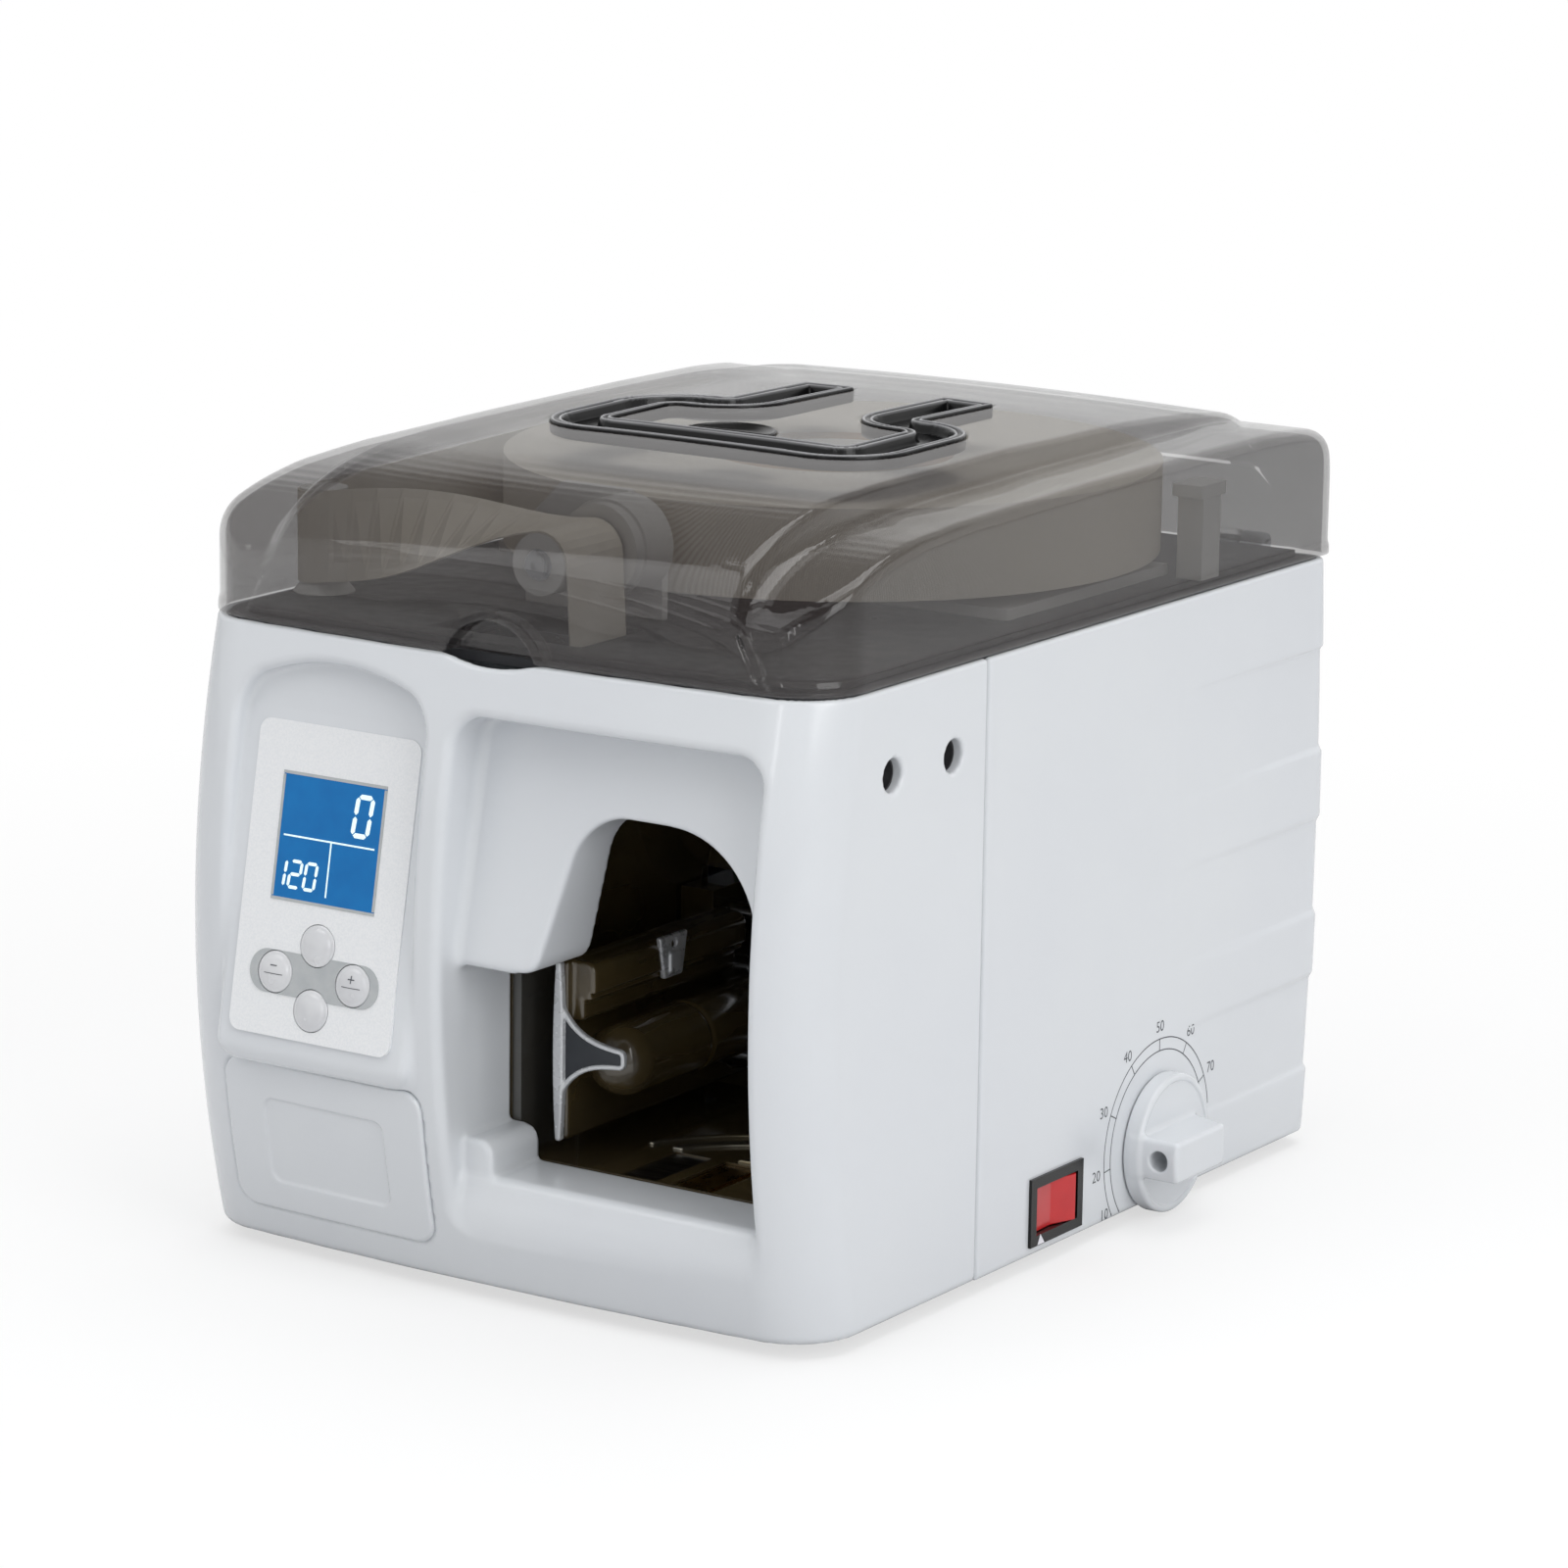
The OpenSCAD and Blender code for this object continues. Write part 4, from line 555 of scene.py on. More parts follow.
# ------------------------------------------------------------------ the casing's forms
HALF, WALL, SEAM = 114.0, 2.6, 88.0
BAY_L, BAY_R, BAY_MID = -9.5, 96.0, 43.25
BAY_FLOOR, SILL, BAY_TOP, BROW = 34.4, 15.0, 173.0, 98.0
PANEL = (-55.2, -17.0, 69.5)
TILT = math.radians(10.4)
LID_Z = 190.4
KEY_PLACES = {"clear": (0, 29), "minus": (-14.5, 19.3), "plus": (14.5, 19.3), "enter": (0, 9.6)}
KEY_HOLE = 6.75


def front_plane(r, inset=0.0):
    bend = 24 * (r.z - 96.9) / 93.1 ** 2
    yf = -12 * (1 - ((r.z - 96.9) / 93.1) ** 2)
    crown = 3 * np.maximum(0, 1 - (r.x / 92) ** 2)
    return (yf - crown - r.y) / np.sqrt(1 + bend ** 2) + inset


def panel_axes(r):
    u = r.x - PANEL[0]
    v = (r.y - PANEL[1]) * math.sin(TILT) + (r.z - PANEL[2]) * math.cos(TILT)
    w = -(r.y - PANEL[1]) * math.cos(TILT) + (r.z - PANEL[2]) * math.sin(TILT)
    return u, v, w


def pod_field(u, v, grow=0.0):
    half, foot, head = 35.5 + grow, -10.5 - grow, 113.0 + grow
    flat = rmax(np.abs(u) - half, foot - v, 8)
    return rmax(flat, np.hypot(u, v - (head - 76)) - 76, 8)


def rounded_field(a, b, w, h, r):
    return rmax(np.abs(a) - w / 2, np.abs(b) - h / 2, r)


def brow_arch(r):
    left, right, top = BAY_L + 21.5, BAY_R - 3, BAY_TOP - 26
    pts = ([(right, BROW - 14), (left, BROW - 14)] + [(left, BROW - 1)]
           + arc(left, BROW + 8, 8, -90, -15, 8)
           + arc(left + 32, top - 18, 18, 165, 90, 14) + arc(right - 35, top - 35, 35, 90, 0, 18))
    return outline_field(r.x[:, :, 0][:, None, :], r.z, pts)


def bay_cut(r):
    walls = rmax(np.abs(r.x - BAY_MID) - 52.75, np.abs(r.z - (SILL + BAY_TOP) / 2) - (BAY_TOP - SILL) / 2, 9)
    slope = ((r.y + 8.5) * 19.4 - (r.z - SILL) * 6.5) / 20.46
    low = rmin(BAY_FLOOR - r.z, slope, 2.5)
    lean = ((r.y + 6) * 75 - (r.z - BROW) * 15.94) / 76.67
    high = rmin(r.z - BROW, lean, 3.0)
    body = rmax(np.maximum(low, high), walls, 3.0)
    return rmin(body, brow_arch(r), 2.0), walls


def front_cover():
    r = Room((-117, -34, -3), (117, 91, 193), COARSE)
    plan = rmax(front_plane(r), np.abs(r.x) - HALF, 22)
    bay, walls = bay_cut(r)
    ledge = rmax(rmax(slab(r.x, BAY_L - 6, BAY_L + 10.5), slab(r.z, BAY_FLOOR - 6, BAY_FLOOR + 10.6), 5),
                 slab(r.y, -2, 30), 1.6)
    u, v, w = panel_axes(r)
    outline = pod_field(u, v)
    recess = rmax(outline, -w, 2.2)
    pod = rmax(rmax(outline, w, 2.2), -w - 14, 1)
    pod = rmax(pod, (-10.5 - v + w + 4) * 0.7071, 2.5)
    dip = np.hypot(r.x, r.z - 242.1) - 54.5
    dip = np.maximum(dip, r.y - 6)

    def solid(base, thin):
        s = cut(base, bay, 3.2)
        s = rmin(s, ledge, 1.5)
        s = cut(s, recess, 2.6)
        s = rmin(s, pod, 2.2)
        if not thin:
            s = cut(s, dip, 1.0)
        return s

    outer = solid(rmax(plan, -r.z, 2.6), False)
    shell = cut(outer, solid(plan, True) + WALL, 1.0)
    shell = cut(shell, np.maximum(walls - WALL - 1.5, 22.0 - r.y))
    # pocket of the service cover
    pocket = rounded_field(r.x - PANEL[0], r.z - 35, 76.6, 49.2, 7)
    shell = cut(shell, np.maximum(pocket, -(front_plane(r) + 0.9)), 0.3)
    # behind the panel plate: the display's window and the holes that the keys' shanks pass through
    shell = cut(shell, np.maximum(rounded_field(u, v - 60, 37.6, 37.6, 1), slab(w, -4, 10)))
    for a, b in KEY_PLACES.values():
        shell = cut(shell, np.maximum(np.hypot(u - a, v - b) - KEY_HOLE, slab(w, -5, 1)))
    for y in (37, 69.7):
        hole = np.hypot(r.y - y, r.z - 164)
        shell = rmin(shell, np.maximum(hole - 7.5, slab(r.x, 106, 112)), 0.8)
        shell = cut(shell, np.maximum(hole - 5, 95 - r.x), 0.7)
    shell = rmax(shell, r.y - (SEAM - 0.2), 0.5)
    shell = rmax(shell, r.z - 190, 0.8)
    return r.mesh("front_cover_moulded", shell)


def rear_housing():
    r = Room((-117, 86, -3), (117, 309, 195), COARSE)
    depth = 1.2 * np.clip((r.y - 200) / 97, 0, 1)
    band = 0
    for z0, t in ((21.5, 30.5), (73, 31), (127, 33.5)):
        band = np.maximum(band, step((r.z - z0 + 0.5)) * step((z0 + t + 0.5 - r.z)))
    side = np.abs(r.x) - HALF + depth * band
    back = r.y - (299 - 4.5 * ((r.z - 104.5) / 95) ** 2)
    plan = rmax(side, back, 6)
    plan_in = rmax(np.abs(r.x) - HALF, back, 6) + WALL
    s = cut(rmax(plan, -r.z, 1.8), plan_in)
    s = rmax(s, SEAM + 0.2 - r.y, 0.5)
    seat = 299 - 4.5 * ((17 - 104.5) / 95) ** 2
    s = np.minimum(s, block(r, (-89, -51), (seat - WALL, seat), (15, 45)))
    s = cut(s, block(r, (105, 120), (118.8, 146.8), (4.5, 23.5)), 0.3)
    s = cut(s, np.maximum(np.hypot(r.y - 194.5, r.z - 19.5) - 5, 100 - r.x))
    s = cut(s, np.maximum(np.maximum(slab(r.x, -84, -56), slab(r.z, 20, 40)), 285 - r.y))
    s = cut(s, np.maximum(np.maximum(slab(r.x, -87, -53), slab(r.z, 17, 43)), seat - r.y), 0.3)
    for x in range(20, 75, 9):
        s = cut(s, np.maximum(rounded_field(r.x - x - 1.6, r.z - 138, 3.2, 36, 1.55), 280 - r.y), 0.6)
    for sx in (-1, 1):
        for z in (12, 170):
            s = cut(s, np.maximum(np.hypot(r.x - sx * 100, r.z - z) - 1.7, 280 - r.y), 0.3)
    s = rmax(s, r.z - 190, 0.8)
    for sx in (-1, 1):
        for x in (72 - 5.7 - 9.3, 72 + 5.7 + 0.3):
            near = slab(sx * r.x, x, x + 9)
            barrel = rmax(np.hypot(r.y - 302.9, r.z - 190) - 3.5, near, 0.4)
            root = rmax(rmax(slab(r.y, 294, 302.9), slab(r.z, 183, 189), 0.5), near, 0.4)
            s = rmin(s, rmin(barrel, root, 1.0), 0.8)
    return r.mesh("rear_housing_moulded", s)


# ------------------------------------------------------------------ the lid
FIELD_LINE = [(0, 20), (1, 23), (4, 29), (10, 35.5), (20, 41), (32, 45), (50, 48.6), (80, 50),
              (150, 50.8), (220, 50), (262, 47.8), (284, 45.2), (293, 41.5), (297.5, 35), (299, 26.5)]
SHOULDER_LINE = [(0, 19), (1, 21), (4, 24.5), (10, 29), (20, 33.8), (32, 37.3), (50, 40.6), (80, 42.6),
                 (150, 44), (220, 44.6), (262, 44.4), (284, 43.2), (293, 40.4), (297.5, 34.5), (299, 26)]


def smooth_line(pts, spread=4.0, h=0.8):
    """The line through the points, evened out along its length so that gloss runs over it unbroken."""
    x, y = np.array(pts, float).T
    along = np.r_[0, np.cumsum(np.hypot(np.diff(x), np.diff(y)))]
    at = np.linspace(0, along[-1], int(along[-1] / h))
    n = int(3 * spread / h)
    weight = np.exp(-0.5 * (np.arange(-n, n + 1) * h / spread) ** 2)
    ends = [np.pad(np.interp(at, along, v), n, mode="reflect", reflect_type="odd") for v in (x, y)]
    return [np.convolve(v, weight / weight.sum(), "valid") for v in ends]


class Section:
    """The lid's outline over depth and height, kept as a table of distances."""

    def __init__(self, line, h=0.5):
        ys, zs = smooth_line(line)
        pts = [(-20, zs[0] - 40)] + list(zip(ys, zs)) + [(309, zs[-1] - 47)]
        self.h = h
        y, z = np.arange(-12, 312, h), np.arange(-8, 62, h)
        self.size = len(y), len(z)
        f = outline_field(y[:, None], z[None, :], pts)
        for _ in range(3):
            for axis in (0, 1):
                edge = [(2, 2) if k == axis else (0, 0) for k in (0, 1)]
                e = np.pad(f, edge, mode="reflect", reflect_type="odd")
                f = sum(np.take(e, range(k, k + f.shape[axis]), axis) for k in range(5)) / 5
        self.f = f
        self.top = ys, zs

    def at(self, y, z):
        y, z = np.broadcast_arrays((y + 12) / self.h, (z + 8) / self.h)
        i = np.clip(y.astype(np.int32), 0, self.size[0] - 2)
        j = np.clip(z.astype(np.int32), 0, self.size[1] - 2)
        s, t = y - i, z - j
        f = self.f
        low = f[i, j] * (1 - s) + f[i + 1, j] * s
        high = f[i, j + 1] * (1 - s) + f[i + 1, j + 1] * s
        return (low * (1 - t) + high * t).astype(np.float32)


def lid_top(x, y):
    """Height of the raised middle of the lid."""
    ys, zs = smooth_line(FIELD_LINE)
    return 190 + np.interp(y, ys, zs) + 1.3 * (1 - np.minimum(np.abs(x) / 82, 1) ** 2)


def channel_path():
    """Middle line of the grip channel: a loop, open at the back, with two arms."""
    right = [(0, 107.5)] + arc(39.5, 121.5, 14, -90, 0, 10) + arc(39.5, 148.5, 14, 0, 90, 10)
    right += arc(38, 174.5, 12, -90, -180, 10) + [(26, 230)]
    return [(-x, y) for x, y in right[::-1]] + right[1:]


def path_distance(px, py, pts):
    best = np.full(np.broadcast(px, py).shape, 1e9, np.float32)
    for (x0, y0), (x1, y1) in zip(pts, pts[1:]):
        dx, dy = x1 - x0, y1 - y0
        t = np.clip(((px - x0) * dx + (py - y0) * dy) / max(dx * dx + dy * dy, 1e-9), 0, 1)
        best = np.minimum(best, np.hypot(px - x0 - t * dx, py - y0 - t * dy))
    return best


def channel_field(x, y, half):
    return rmax(path_distance(x, y, channel_path()) - half, y - 216, 1.5)


def pad_field(x, y, r):
    return rmax(np.hypot(x, y - 119) - r, 119 - y - (r - 15), 0.8)


def lid_shell():
    r = Room((-117, -7, 187), (117, 309, 245), COARSE)
    bow = 3 * np.maximum(0, 1 - (r.x / 92) ** 2)
    side = np.abs(r.x) - HALF
    plan = rmax(rmax(-(r.y + bow), side, 22), r.y - 299, 6)
    y = r.y + bow * np.clip(1 - r.y / 50, 0, 1)
    crown = 1.3 * (1 - np.minimum(np.abs(r.x) / 82, 1) ** 2)
    shoulder = rmax(plan, Section(SHOULDER_LINE).at(y, r.z - 190), 4.0)
    middle = Section(FIELD_LINE)
    ridge = (np.abs(r.x) - 82) * 0.862 + (r.z - 190 - np.interp(y, *middle.top)) * 0.507
    field = rmax(rmax(plan, middle.at(y, r.z - 190 - crown), 4), ridge, 1.7)
    outer = rmin(shoulder, field, 1.7)
    rim = outer + 0.5 * step((r.z - 193.6) / 1.2)
    s = cut(rim, outer + 2.4)
    s = rmax(s, LID_Z - r.z, 0.7)
    scoop = np.hypot(r.x, r.z - 184)
    pocket = np.maximum(np.maximum(scoop - 19.3, slab(r.y, -6, 5)), np.maximum(outer + 0.3, LID_Z - r.z))
    s = rmin(s, pocket, 0.8)
    s = cut(s, np.maximum(scoop - 17.3, r.y - 3), 0.9)
    flat_x, flat_y = r.x[:, :, 0], r.y[:, :, 0]
    opening = np.minimum(channel_field(flat_x, flat_y, 9.6), pad_field(flat_x, flat_y, 15.1))[:, :, None]
    s = cut(s, np.maximum(opening, 230 - r.z), 0.5)
    for k in (-1, 1):
        near = slab(k * r.x, 66.6, 77.4)
        barrel = rmax(np.hypot(r.y - 302.9, r.z - 190) - 3.5, near, 0.4)
        root = rmax(rmax(slab(r.y, 296, 302.9), slab(r.z, 190.4, 193.5), 0.5), near, 0.4)
        s = rmin(s, np.minimum(barrel, root), 0.8)
        s = cut(s, np.hypot(r.y - 302.9, r.z - 190) - 1.55 + np.maximum(0, 60 - k * r.x))
    return r.mesh("lid_moulded", s, span=0.9)


def grip_channel():
    h = 0.5 * COARSE
    r = Room((-65, 95, 235.5), (65, 218, 244), h)
    x, y = r.x[:, :, 0], r.y[:, :, 0]
    d = channel_field(x, y, 9.45)
    top = lid_top(x, y)
    depth = -d
    profile = (-2.9 * step((depth - 3.6) / 0.9) - 0.5 * step((depth - 0.9) / 0.5)
               + 0.45 * np.exp(-((depth - 0.75) / 0.42) ** 2) + 0.75 * np.exp(-((depth - 3.1) / 0.45) ** 2))
    top = np.minimum(top + profile, 242.0)
    f = rmax(d[:, :, None], r.z - top[:, :, None], 0.25)
    f = np.maximum(f, 236.6 - r.z)
    o = r.mesh("grip_channel_moulded", f)
    spots = np.empty(len(o.data.vertices) * 3, np.float32)
    o.data.vertices.foreach_get("co", spots)
    px, py, _ = (spots.reshape(-1, 3) * 1000 - SHIFT).T
    # painted highlight: a mask on the two ridge lines of the channel, which lightens the black there
    inward = -channel_field(px, py, 9.45)
    lines = np.exp(-((inward - 0.75) / 0.45) ** 2) + np.exp(-((inward - 3.1) / 0.45) ** 2)
    o.data.attributes.new("painted_ridge_highlight", "FLOAT", "POINT").data.foreach_set("value", lines.astype(np.float32))
    return o


def grip_rest():
    h = 0.5 * COARSE
    r = Room((-17, 117, 235.5), (17, 136, 244), h)
    x, y = r.x[:, :, 0], r.y[:, :, 0]
    d = pad_field(x, y, 14.95)
    top = lid_top(x, y) - 0.2 - 1.6 * step(-d / 6) + 0.3 * np.exp(-((-d - 0.7) / 0.4) ** 2)
    f = rmax(d[:, :, None], r.z - top[:, :, None], 0.25)
    f = np.maximum(f, 236.6 - r.z)
    return r.mesh("grip_rest_moulded", f)


# ------------------------------------------------------------------ small moulded pieces
def service_cover():
    h = 0.5 * COARSE
    r = Room((-97, -17, 8), (-13, 5, 62), h)
    front = front_plane(r)
    edge = rounded_field(r.x - PANEL[0], r.z - 35, 76, 48.6, 7)
    s = rmax(edge, front - 0.8, 1.1)
    well = rounded_field(r.x - PANEL[0], r.z - 34, 46, 27, 3.5)
    s = cut(s, rmax(well, -front, 0.6), 0.6)
    s = np.maximum(s, -front - 2.4)
    return r.mesh("service_cover_moulded", s)


def dial_knob():
    h = 0.45 * COARSE
    r = Room((112.5, 171, -4), (135.5, 218, 43), h)
    y, z = r.y - 194.5, r.z - 19.5
    disc = rmax(np.hypot(y, z) - 22, slab(r.x, 114.3, 120.3), 1.1)
    dish = np.maximum(np.hypot(y, z) - 19.6, 119.7 - r.x)
    disc = cut(disc, dish, 0.7)
    x = r.x - 119.3
    wedge = rmax(rmax(x - 14, (x - 14) * 0.32 + (y - 9) * 0.95, 1.2), np.abs(z) - 6.5, 1.3)
    grip = rmax(np.maximum(wedge, -x - 3), np.hypot(y, z) - 21.6, 1.2)
    s = rmin(disc, grip, 1.6)
    s = cut(s, np.maximum(np.hypot(r.x - 126.8, z) - 3.2, y + 8), 0.5)
    s = cut(s, np.maximum(np.hypot(y, z) - 4, r.x - 124))
    return r.mesh("dial_knob_moulded", s)


def press_block():
    """Side plate, rounded upper rail and round-nosed tube of the press, moulded in one."""
    h = 0.7 * COARSE
    r = Room((0, 24, 37), (32, 127, 98), h)
    plate = rmax(rmax(slab(r.x, 3.5, 7.5), slab(r.z, 40, 95), 1.2), slab(r.y, 27, 124), 1.2)
    rail = rmax(rmax(slab(r.x, 4.0, 15.5), slab(r.z, 83, 95), 3.5), slab(r.y, 29.5, 110), 1.0)
    groove = np.maximum(slab(r.z, 84.2, 85.4), 13.9 - r.x)
    rail = cut(rail, groove, 0.3)
    step_bar = rmax(rmax(slab(r.x, 4.0, 11.5), slab(r.z, 76.5, 84), 1.5), slab(r.y, 29.5, 110), 1.0)
    y = np.clip(r.y, 41, 116)
    tube = np.sqrt((r.x - 18.5) ** 2 + (r.z - 64) ** 2 + (r.y - y) ** 2) - 11
    tube = np.maximum(tube, r.y - 116)
    ring = np.sqrt((np.hypot(r.x - 18.5, r.z - 64) - 11) ** 2 + (r.y - 72) ** 2) - 0.8
    s = rmin(rmin(rmin(plate, rail, 1.2), step_bar, 1.0), tube, 3.0)
    s = cut(s, ring, 0.4)
    for z in (48, 92):
        s = cut(s, np.maximum(np.hypot(r.y - 116, r.z - z) - 4.3, r.x - 8), 0.3)
    return r.mesh("press_block_moulded", s)


BLADE_MID, HORN_MID, HORN_ROOT = 67.5, 68.3, 7.3


def horn_field(r, inset=0.0):
    """The horn's outline seen from the front: wide at the blade, drawn in to a blunt tip."""
    lift = 10 * np.exp(-(r.x - HORN_ROOT) / 6.5)
    sides = (np.abs(r.z - HORN_MID) - 2.7 - lift) / np.sqrt(1 + (lift / 6.5) ** 2)
    return rmax(np.maximum(sides, 4.5 - r.x), r.x - 29.4, 2.2) + inset


def press_blade():
    """Bright lens-shaped front edge with a horn that points into the bay."""
    h = 0.4 * COARSE
    r = Room((1.5, 23, 37), (33, 30, 98), h)
    half = 1.95 - 1.0 * ((r.z - BLADE_MID) / 27.5) ** 2
    lens = rmax(np.abs(r.x - 5.5) - half, np.abs(r.z - BLADE_MID) - 27.5, 0.6)
    lens = rmax(lens, slab(r.y, 24.5, 27.0), 0.6)
    flat = rmax(horn_field(r), slab(r.y, 25.0, 27.0), 0.5)
    flat = cut(flat, np.maximum(horn_field(r, 1.5), r.y - 25.8), 0.3)
    return r.mesh("press_blade_moulded", rmin(lens, flat, 0.5))


def horn_face():
    """Dark inlay in the horn."""
    h = 0.4 * COARSE
    r = Room((5, 24, 50), (31, 28, 86), h)
    face = np.maximum(horn_field(r, 1.3), HORN_ROOT + 0.4 - r.x)
    return r.mesh("horn_inlay", rmax(face, slab(r.y, 25.3, 26.6), 0.25))


def rail_clip():
    """Bright clip bent over the press rail, wider at its top."""
    h = 0.4 * COARSE
    r = Room((12, 58, 80), (19, 81, 98), h)
    half = 7.4 - 0.2 * (96.2 - r.z)
    s = rmax(rmax(slab(r.x, 14.4, 16.4), np.abs(r.y - 69.5) - half, 0.7), slab(r.z, 83, 96.2), 0.7)
    tab = rmax(rmax(slab(r.x, 14.6, 17.4), slab(r.y, 66.5, 72.5), 0.7), slab(r.z, 84.5, 91), 0.7)
    s = cut(rmin(s, tab, 0.6), np.maximum(np.hypot(r.y - 69.7, r.z - 93.4) - 1.4, 13 - r.x), 0.3)
    return r.mesh("rail_clip", s)


def floor_guides():
    """Curved bright guides that lead the tape under the stack, let into the bed."""
    h = 0.5 * COARSE
    r = Room((-8, 23, 33), (95, 125, 37.5), h)
    s = None
    for cx, cy, radius, w in ((66, 20, 46, 3.2), (66, 20, 54, 1.8), (66, 20, 30, 2.4)):
        ring = rmax(np.abs(np.hypot(r.x - cx, (r.y - cy) * 0.8) - radius) - w / 2, slab(r.z, 33.6, 35.6), 0.7)
        s = ring if s is None else np.minimum(s, ring)
    s = rmax(s, slab(r.y, 53.5, 122), 0.5)
    s = rmax(s, slab(r.x, -6, 93), 0.5)
    return r.mesh("floor_guides", s)


def link(o):
    bpy.context.scene.collection.objects.link(o)
    return o


def mesh_object(name, verts, faces, smooth=False):
    """A mesh from points of the casing's frame."""
    me = bpy.data.meshes.new(name)
    me.from_pydata([place(v) for v in verts], [], faces)
    me.update()
    if smooth:
        me.shade_smooth()
    return link(bpy.data.objects.new(name, me))


def on_panel(u, v, w):
    c, s = math.cos(TILT), math.sin(TILT)
    return (PANEL[0] + u, PANEL[1] + v * s - w * c, PANEL[2] + v * c + w * s)


def key_cap(name, u0, v0):
    """A turned key: shank, soft shoulder, shallow ring and dome."""
    profile = [(5.9, -1.2), (6.28, -0.9), (6.3, 0.9), (6.22, 1.15), (6.0, 1.33), (5.7, 1.4), (5.35, 1.42),
               (5.1, 1.5), (4.8, 1.68), (4.0, 1.95), (3.0, 2.18), (2.0, 2.35), (1.0, 2.45)]
    n = 64
    verts = [on_panel(u0 + rr * math.cos(2 * math.pi * k / n), v0 + rr * math.sin(2 * math.pi * k / n), w)
             for rr, w in profile for k in range(n)]
    verts.append(on_panel(u0, v0, 2.49))
    faces = [(i * n + k, i * n + (k + 1) % n, (i + 1) * n + (k + 1) % n, (i + 1) * n + k)
             for i in range(len(profile) - 1) for k in range(n)]
    last = (len(profile) - 1) * n
    faces += [(last + k, last + (k + 1) % n, len(verts) - 1) for k in range(n)]
    faces.append(tuple(range(n))[::-1])
    return mesh_object(name, verts, faces, smooth=True)


def prisms(name, shapes, to_point, low, high):
    """Flat outlines raised a little: each shape is a convex outline in two coordinates."""
    verts, faces = [], []
    for pts in shapes:
        n, b = len(pts), len(verts)
        area = sum(x0 * y1 - x1 * y0 for (x0, y0), (x1, y1) in zip(pts, pts[1:] + pts[:1]))
        pts = pts if area > 0 else pts[::-1]
        verts += [to_point(x, y, low) for x, y in pts] + [to_point(x, y, high) for x, y in pts]
        faces.append(tuple(range(b + n, b + 2 * n)))
        faces.append(tuple(range(b, b + n))[::-1])
        faces += [(b + i, b + (i + 1) % n, b + n + (i + 1) % n, b + n + i) for i in range(n)]
    return mesh_object(name, verts, faces)


def bar(x0, y0, x1, y1, w):
    dx, dy = x1 - x0, y1 - y0
    d = math.hypot(dx, dy)
    nx, ny = -dy / d * w / 2, dx / d * w / 2
    return [(x0 + nx, y0 + ny), (x0 - nx, y0 - ny), (x1 - nx, y1 - ny), (x1 + nx, y1 + ny)]


DIGITS = {"0": "abcdef", "1": "bc", "2": "abged"}


def seven(ch, x, y, w, h, t):
    """Strokes of one display digit with its foot at x, y: pointed bars, leaning a little."""
    g = t * 0.16
    spots = {"a": (0, h, w, h), "b": (w, h / 2, w, h), "c": (w, 0, w, h / 2), "d": (0, 0, w, 0),
             "e": (0, 0, 0, h / 2), "f": (0, h / 2, 0, h), "g": (0, h / 2, w, h / 2)}
    out = []
    for k in DIGITS[ch]:
        x0, y0, x1, y1 = spots[k]
        if x0 == x1:
            y0, y1 = y0 + t / 2 + g, y1 - t / 2 - g
            pts = [(x0, y0 - t / 2), (x0 + t / 2, y0), (x0 + t / 2, y1), (x0, y1 + t / 2), (x0 - t / 2, y1),
                   (x0 - t / 2, y0)]
        else:
            x0, x1 = x0 + t / 2 + g, x1 - t / 2 - g
            pts = [(x0 - t / 2, y0), (x0, y0 - t / 2), (x1, y0 - t / 2), (x1 + t / 2, y0), (x1, y0 + t / 2),
                   (x0, y0 + t / 2)]
        out.append([(x + a + 0.09 * b, y + b) for a, b in pts])
    return out


def display():
    """Digits and dividing lines of the display."""
    cx, cy, half = 0.0, 60.0, 18.3

    def spot(x, y, w):
        return on_panel(cx + x, cy + y, w)

    shapes = seven("0", 8.2, 3.4, 5.4, 11.6, 1.5)
    for i, ch in enumerate("120"):
        shapes += seven(ch, -19.2 + i * 5.7, -15.0, 3.9, 7.8, 1.0)
    shapes += [bar(-16.9, 0.2, 16.9, 0.2, 0.5), bar(0.9, 0.2, 0.9, -16.4, 0.5)]
    dress(mine(prisms("display_digits", shapes, spot, 1.0, 1.16), "casing"), "digit")
    o, i = half + 1.0, half
    frame_shapes = [bar(-o, o - 0.45, o, o - 0.45, 0.9), bar(-o, -o + 0.45, o, -o + 0.45, 0.9),
                    bar(-o + 0.45, -i + 0.2, -o + 0.45, i - 0.2, 0.9),
                    bar(o - 0.45, -i + 0.2, o - 0.45, i - 0.2, 0.9)]
    dress(mine(prisms("display_frame", frame_shapes, spot, 0.95, 1.2), "casing"), "capsule")


def key_signs():
    for sign, plus in (("minus", False), ("plus", True)):
        u0, v0 = KEY_PLACES[sign]

        def spot(x, y, w, u0=u0, v0=v0):
            lift = math.sqrt(max(0, 16 ** 2 - x * x - y * y)) - 16 + 2.49
            return on_panel(u0 + x, v0 + y, lift + w)

        shapes = []
        for x0 in np.linspace(-1.2, 0.8, 6):
            shapes.append(bar(x0, 1.9, x0 + 0.4, 1.9, 0.34))
        if plus:
            for y0 in np.linspace(0.7, 2.7, 6):
                shapes.append(bar(0, y0, 0, y0 + 0.4, 0.34))
        for x0 in np.linspace(-3.4, 3.0, 17):
            shapes.append(bar(x0, -0.6, x0 + 0.41, -0.6, 0.22))
        dress(mine(prisms(sign + "_sign", shapes, spot, -0.1, 0.05), sign + "_key"), "print")


def side_x(y, z):
    """Where the right side of the back housing lies."""
    depth = 1.2 * np.clip((y - 200) / 97, 0, 1)
    band = max(float(step(np.float64(z - z0 + 0.5)) * step(np.float64(z0 + t + 0.5 - z)))
               for z0, t in ((21.5, 30.5), (73, 31), (127, 33.5)))
    return HALF - depth * band


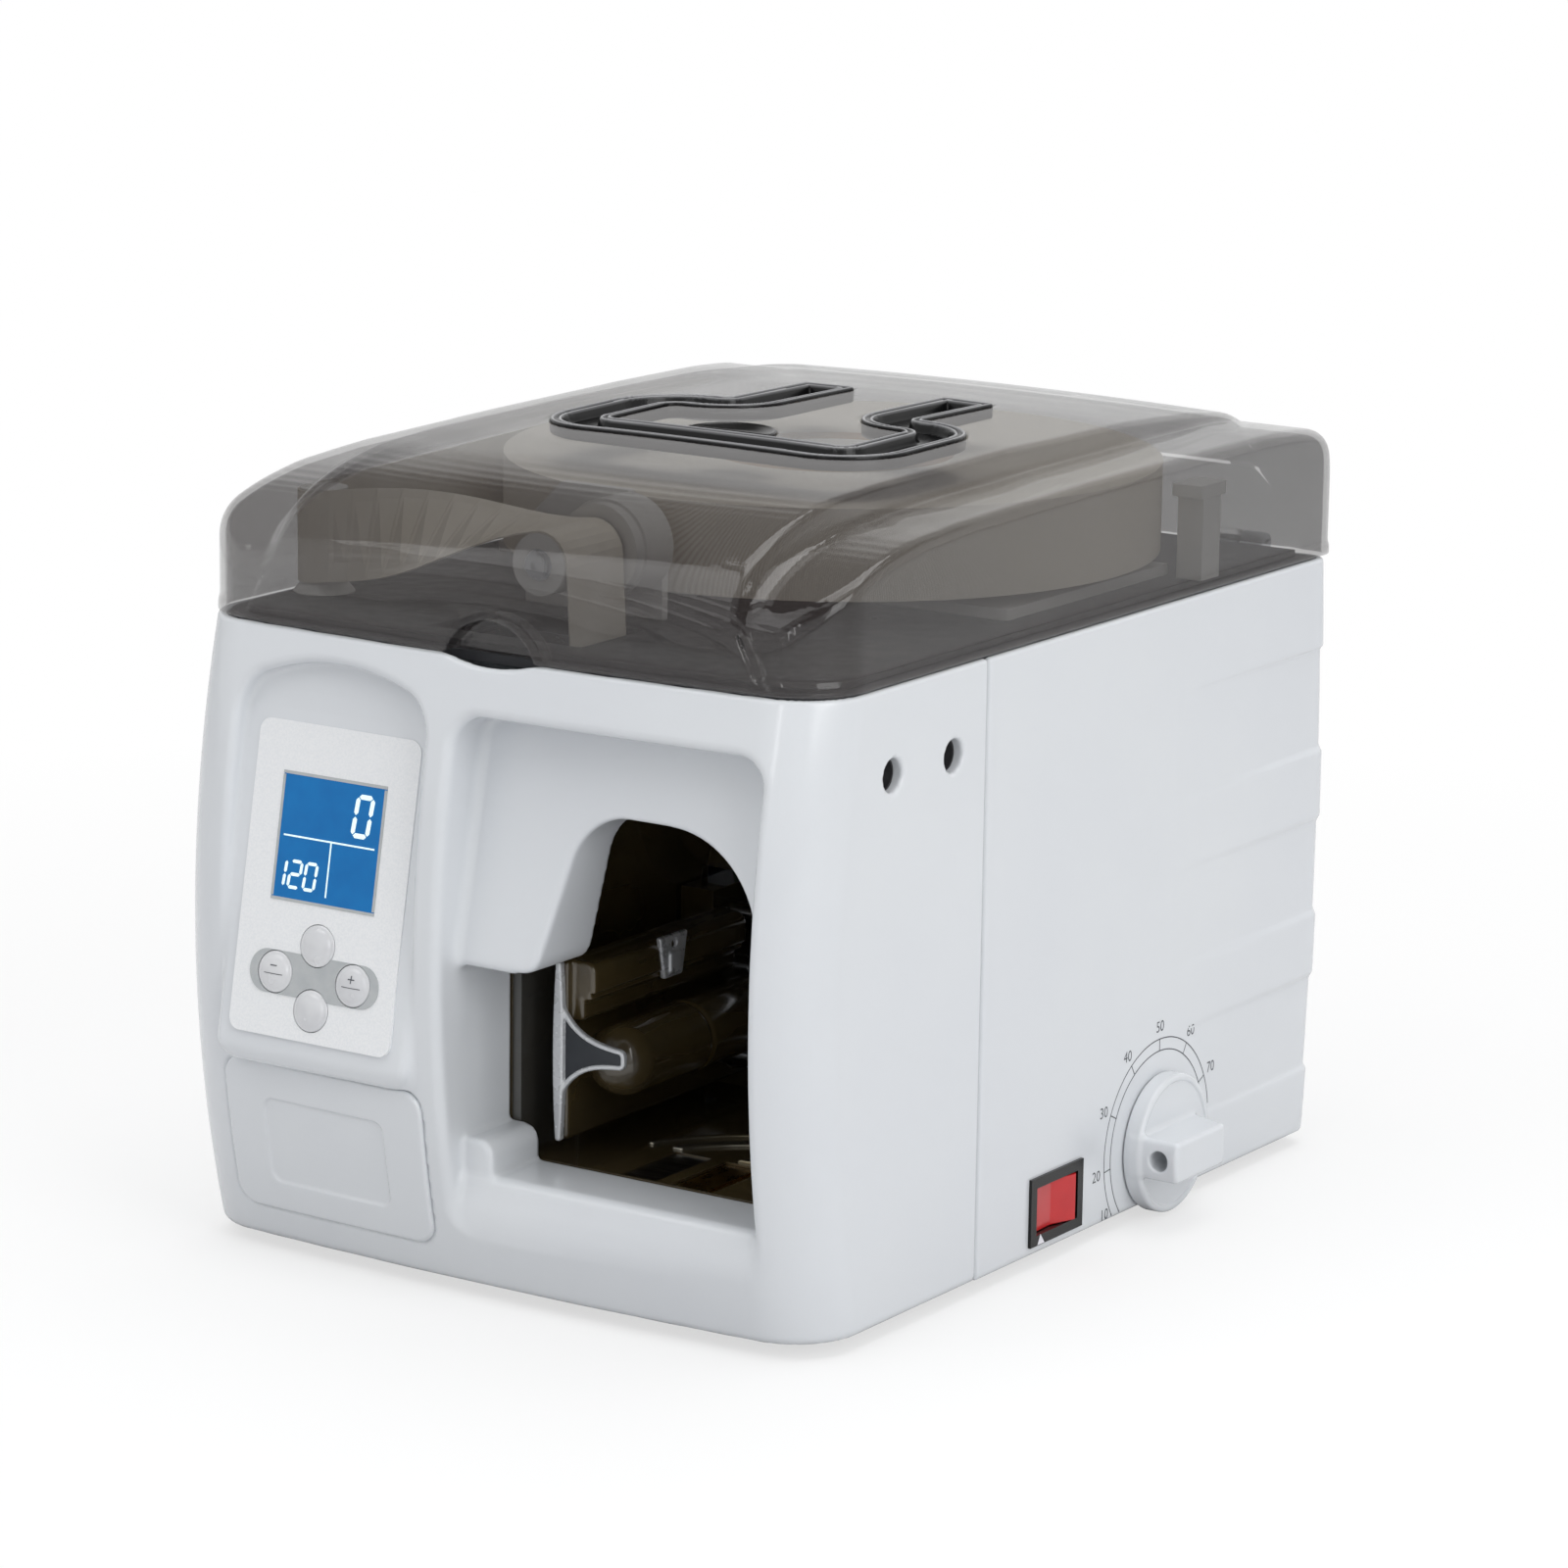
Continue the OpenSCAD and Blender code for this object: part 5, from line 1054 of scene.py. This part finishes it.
def dial_scale():
    """Two thin arcs, short marks and plain numbers round the dial."""
    cy, cz = 194.5, 19.5

    def spot(y, z, w):
        return (side_x(y, z) + w, y, z)

    shapes = []
    for radius, a0, a1 in ((32.5, 221, 8), (28.7, 219, 16)):
        n = 90
        for k in range(n):
            p, q = (math.radians(a0 + (a1 - a0) * j / n) for j in (k, k + 1))
            shapes.append(bar(cy + radius * math.cos(p), cz + radius * math.sin(p),
                              cy + radius * math.cos(q), cz + radius * math.sin(q), 0.36))
    marks = {10: 217.3, 20: 185.5, 30: 153.7, 40: 121.8, 50: 90.0, 60: 58.2, 70: 26.3}
    for a in marks.values():
        a = math.radians(a)
        shapes.append(bar(cy + 28.7 * math.cos(a), cz + 28.7 * math.sin(a),
                          cy + 32.5 * math.cos(a), cz + 32.5 * math.sin(a), 0.36))
    shapes = [s for s in shapes if min(z for _, z in s) > 0.6]
    dress(mine(prisms("dial_scale", shapes, spot, -0.1, 0.035), "casing"), "print")
    for value, a in marks.items():
        a = math.radians(a)
        y, z = cy + 37.2 * math.cos(a), cz + 36.4 * math.sin(a)
        if z < 1.6:
            y, z = y - 2, 2.6
        dress(mine(number("scale_%d" % value, str(value), 5.0, lambda p, q: (
            side_x(y + p, z + q) + 0.03, y + p, z + q)), "casing"), "print")


def number(name, text, size, to_point):
    """A number drawn with the plain built-in letters, laid on a surface."""
    c = bpy.data.curves.new(name, "FONT")
    c.body, c.size, c.align_x, c.align_y = text, size, "CENTER", "CENTER"
    c.resolution_u = 3
    o = link(bpy.data.objects.new(name, c))
    me = bpy.data.meshes.new_from_object(o)
    bpy.data.objects.remove(o)
    me.name = name
    bm = bmesh.new()
    bm.from_mesh(me)
    bmesh.ops.remove_doubles(bm, verts=bm.verts, dist=1e-4)
    for v in bm.verts:
        v.co = place(to_point(v.co.x, v.co.y))
    bm.to_mesh(me)
    bm.free()
    return link(bpy.data.objects.new(name, me))


def mine(o, body):
    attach(o, body)
    return o


def hole_cups():
    """Dark matt cups in the two side holes, closed at their inner end."""
    n = 48
    profile = [(4.95, 110.6), (4.5, 110.8), (4.35, 110.4), (4.3, 104.8), (0.01, 104.6)]
    back = [(0.01, 104.1), (4.95, 104.2)]
    for i, y0 in enumerate((37.0, 69.7)):
        rings = profile + back
        verts = [(x, y0 + rr * math.cos(2 * math.pi * k / n), 164 + rr * math.sin(2 * math.pi * k / n))
                 for rr, x in rings for k in range(n)]
        m = len(rings)
        faces = [(a * n + k, a * n + (k + 1) % n, (a + 1) % m * n + (k + 1) % n, (a + 1) % m * n + k)
                 for a in range(m) for k in range(n)]
        dress(mine(mesh_object("side_hole_cup_%d" % (i + 1), verts, faces, smooth=True), "casing"), "matt")


def switch_mark():
    """Small white pointer on the switch's bezel."""
    def spot(y, z, w):
        return (115.0 + w, y, z)

    pointer = [(121.6, 3.5), (125.6, 3.5), (123.2, 6.6)]
    dress(mine(prisms("switch_mark", [pointer], spot, -0.1, 0.05), "casing"), "mark")


def stand_in(o, node, body, key):
    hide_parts(node)
    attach(o, body)
    return dress(o, key)


def build_pieces():
    stand_in(front_cover(), "front_cover", "casing", "white")
    stand_in(rear_housing(), "rear_housing", "casing", "white")
    stand_in(service_cover(), "service_cover", "casing", "white")
    stand_in(lid_shell(), "lid", "lid", "smoky")
    stand_in(grip_channel(), "grip_inlay", "lid", "grip")
    stand_in(grip_rest(), "grip_pad", "lid", "black")
    stand_in(dial_knob(), "dial_knob", "dial", "white")
    for name, (u, v) in KEY_PLACES.items():
        stand_in(key_cap("key_cap_" + name, u, v), "key_" + name, name + "_key", "key")
    o = press_block()
    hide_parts("press_plate", "press_bar")
    dress(mine(o, "press"), "bay")
    stand_in(press_blade(), "press_edge", "press", "blade")
    dress(mine(horn_face(), "press"), "inlay")
    dress(mine(rail_clip(), "press"), "blade")
    dress(mine(floor_guides(), "casing"), "guide")
    hole_cups()
    display()
    key_signs()
    dial_scale()
    switch_mark()


# ------------------------------------------------------------------ the scene
make_materials()
for name, node in NODES.items():
    dress(node, finish_of(name))
build_pieces()
add_camera()
add_world()
add_floor()
add_light("key", (-0.9, -1.3, 2.0), (0, 0, 0.1), (1.4, 1.4), 10)
add_light("side", (1.9, -0.7, 1.1), (0, 0, 0.1), (1.2, 1.6), 17)
add_light("top", (0.1, 0.2, 2.0), (0, 0, 0.1), (1.6, 1.6), 22)
add_light("strip", (0.25, -1.6, 0.75), (0.03, -0.05, 0.08), (0.12, 0.8), 1.2)
bpy.context.scene.view_settings.view_transform = "Standard"
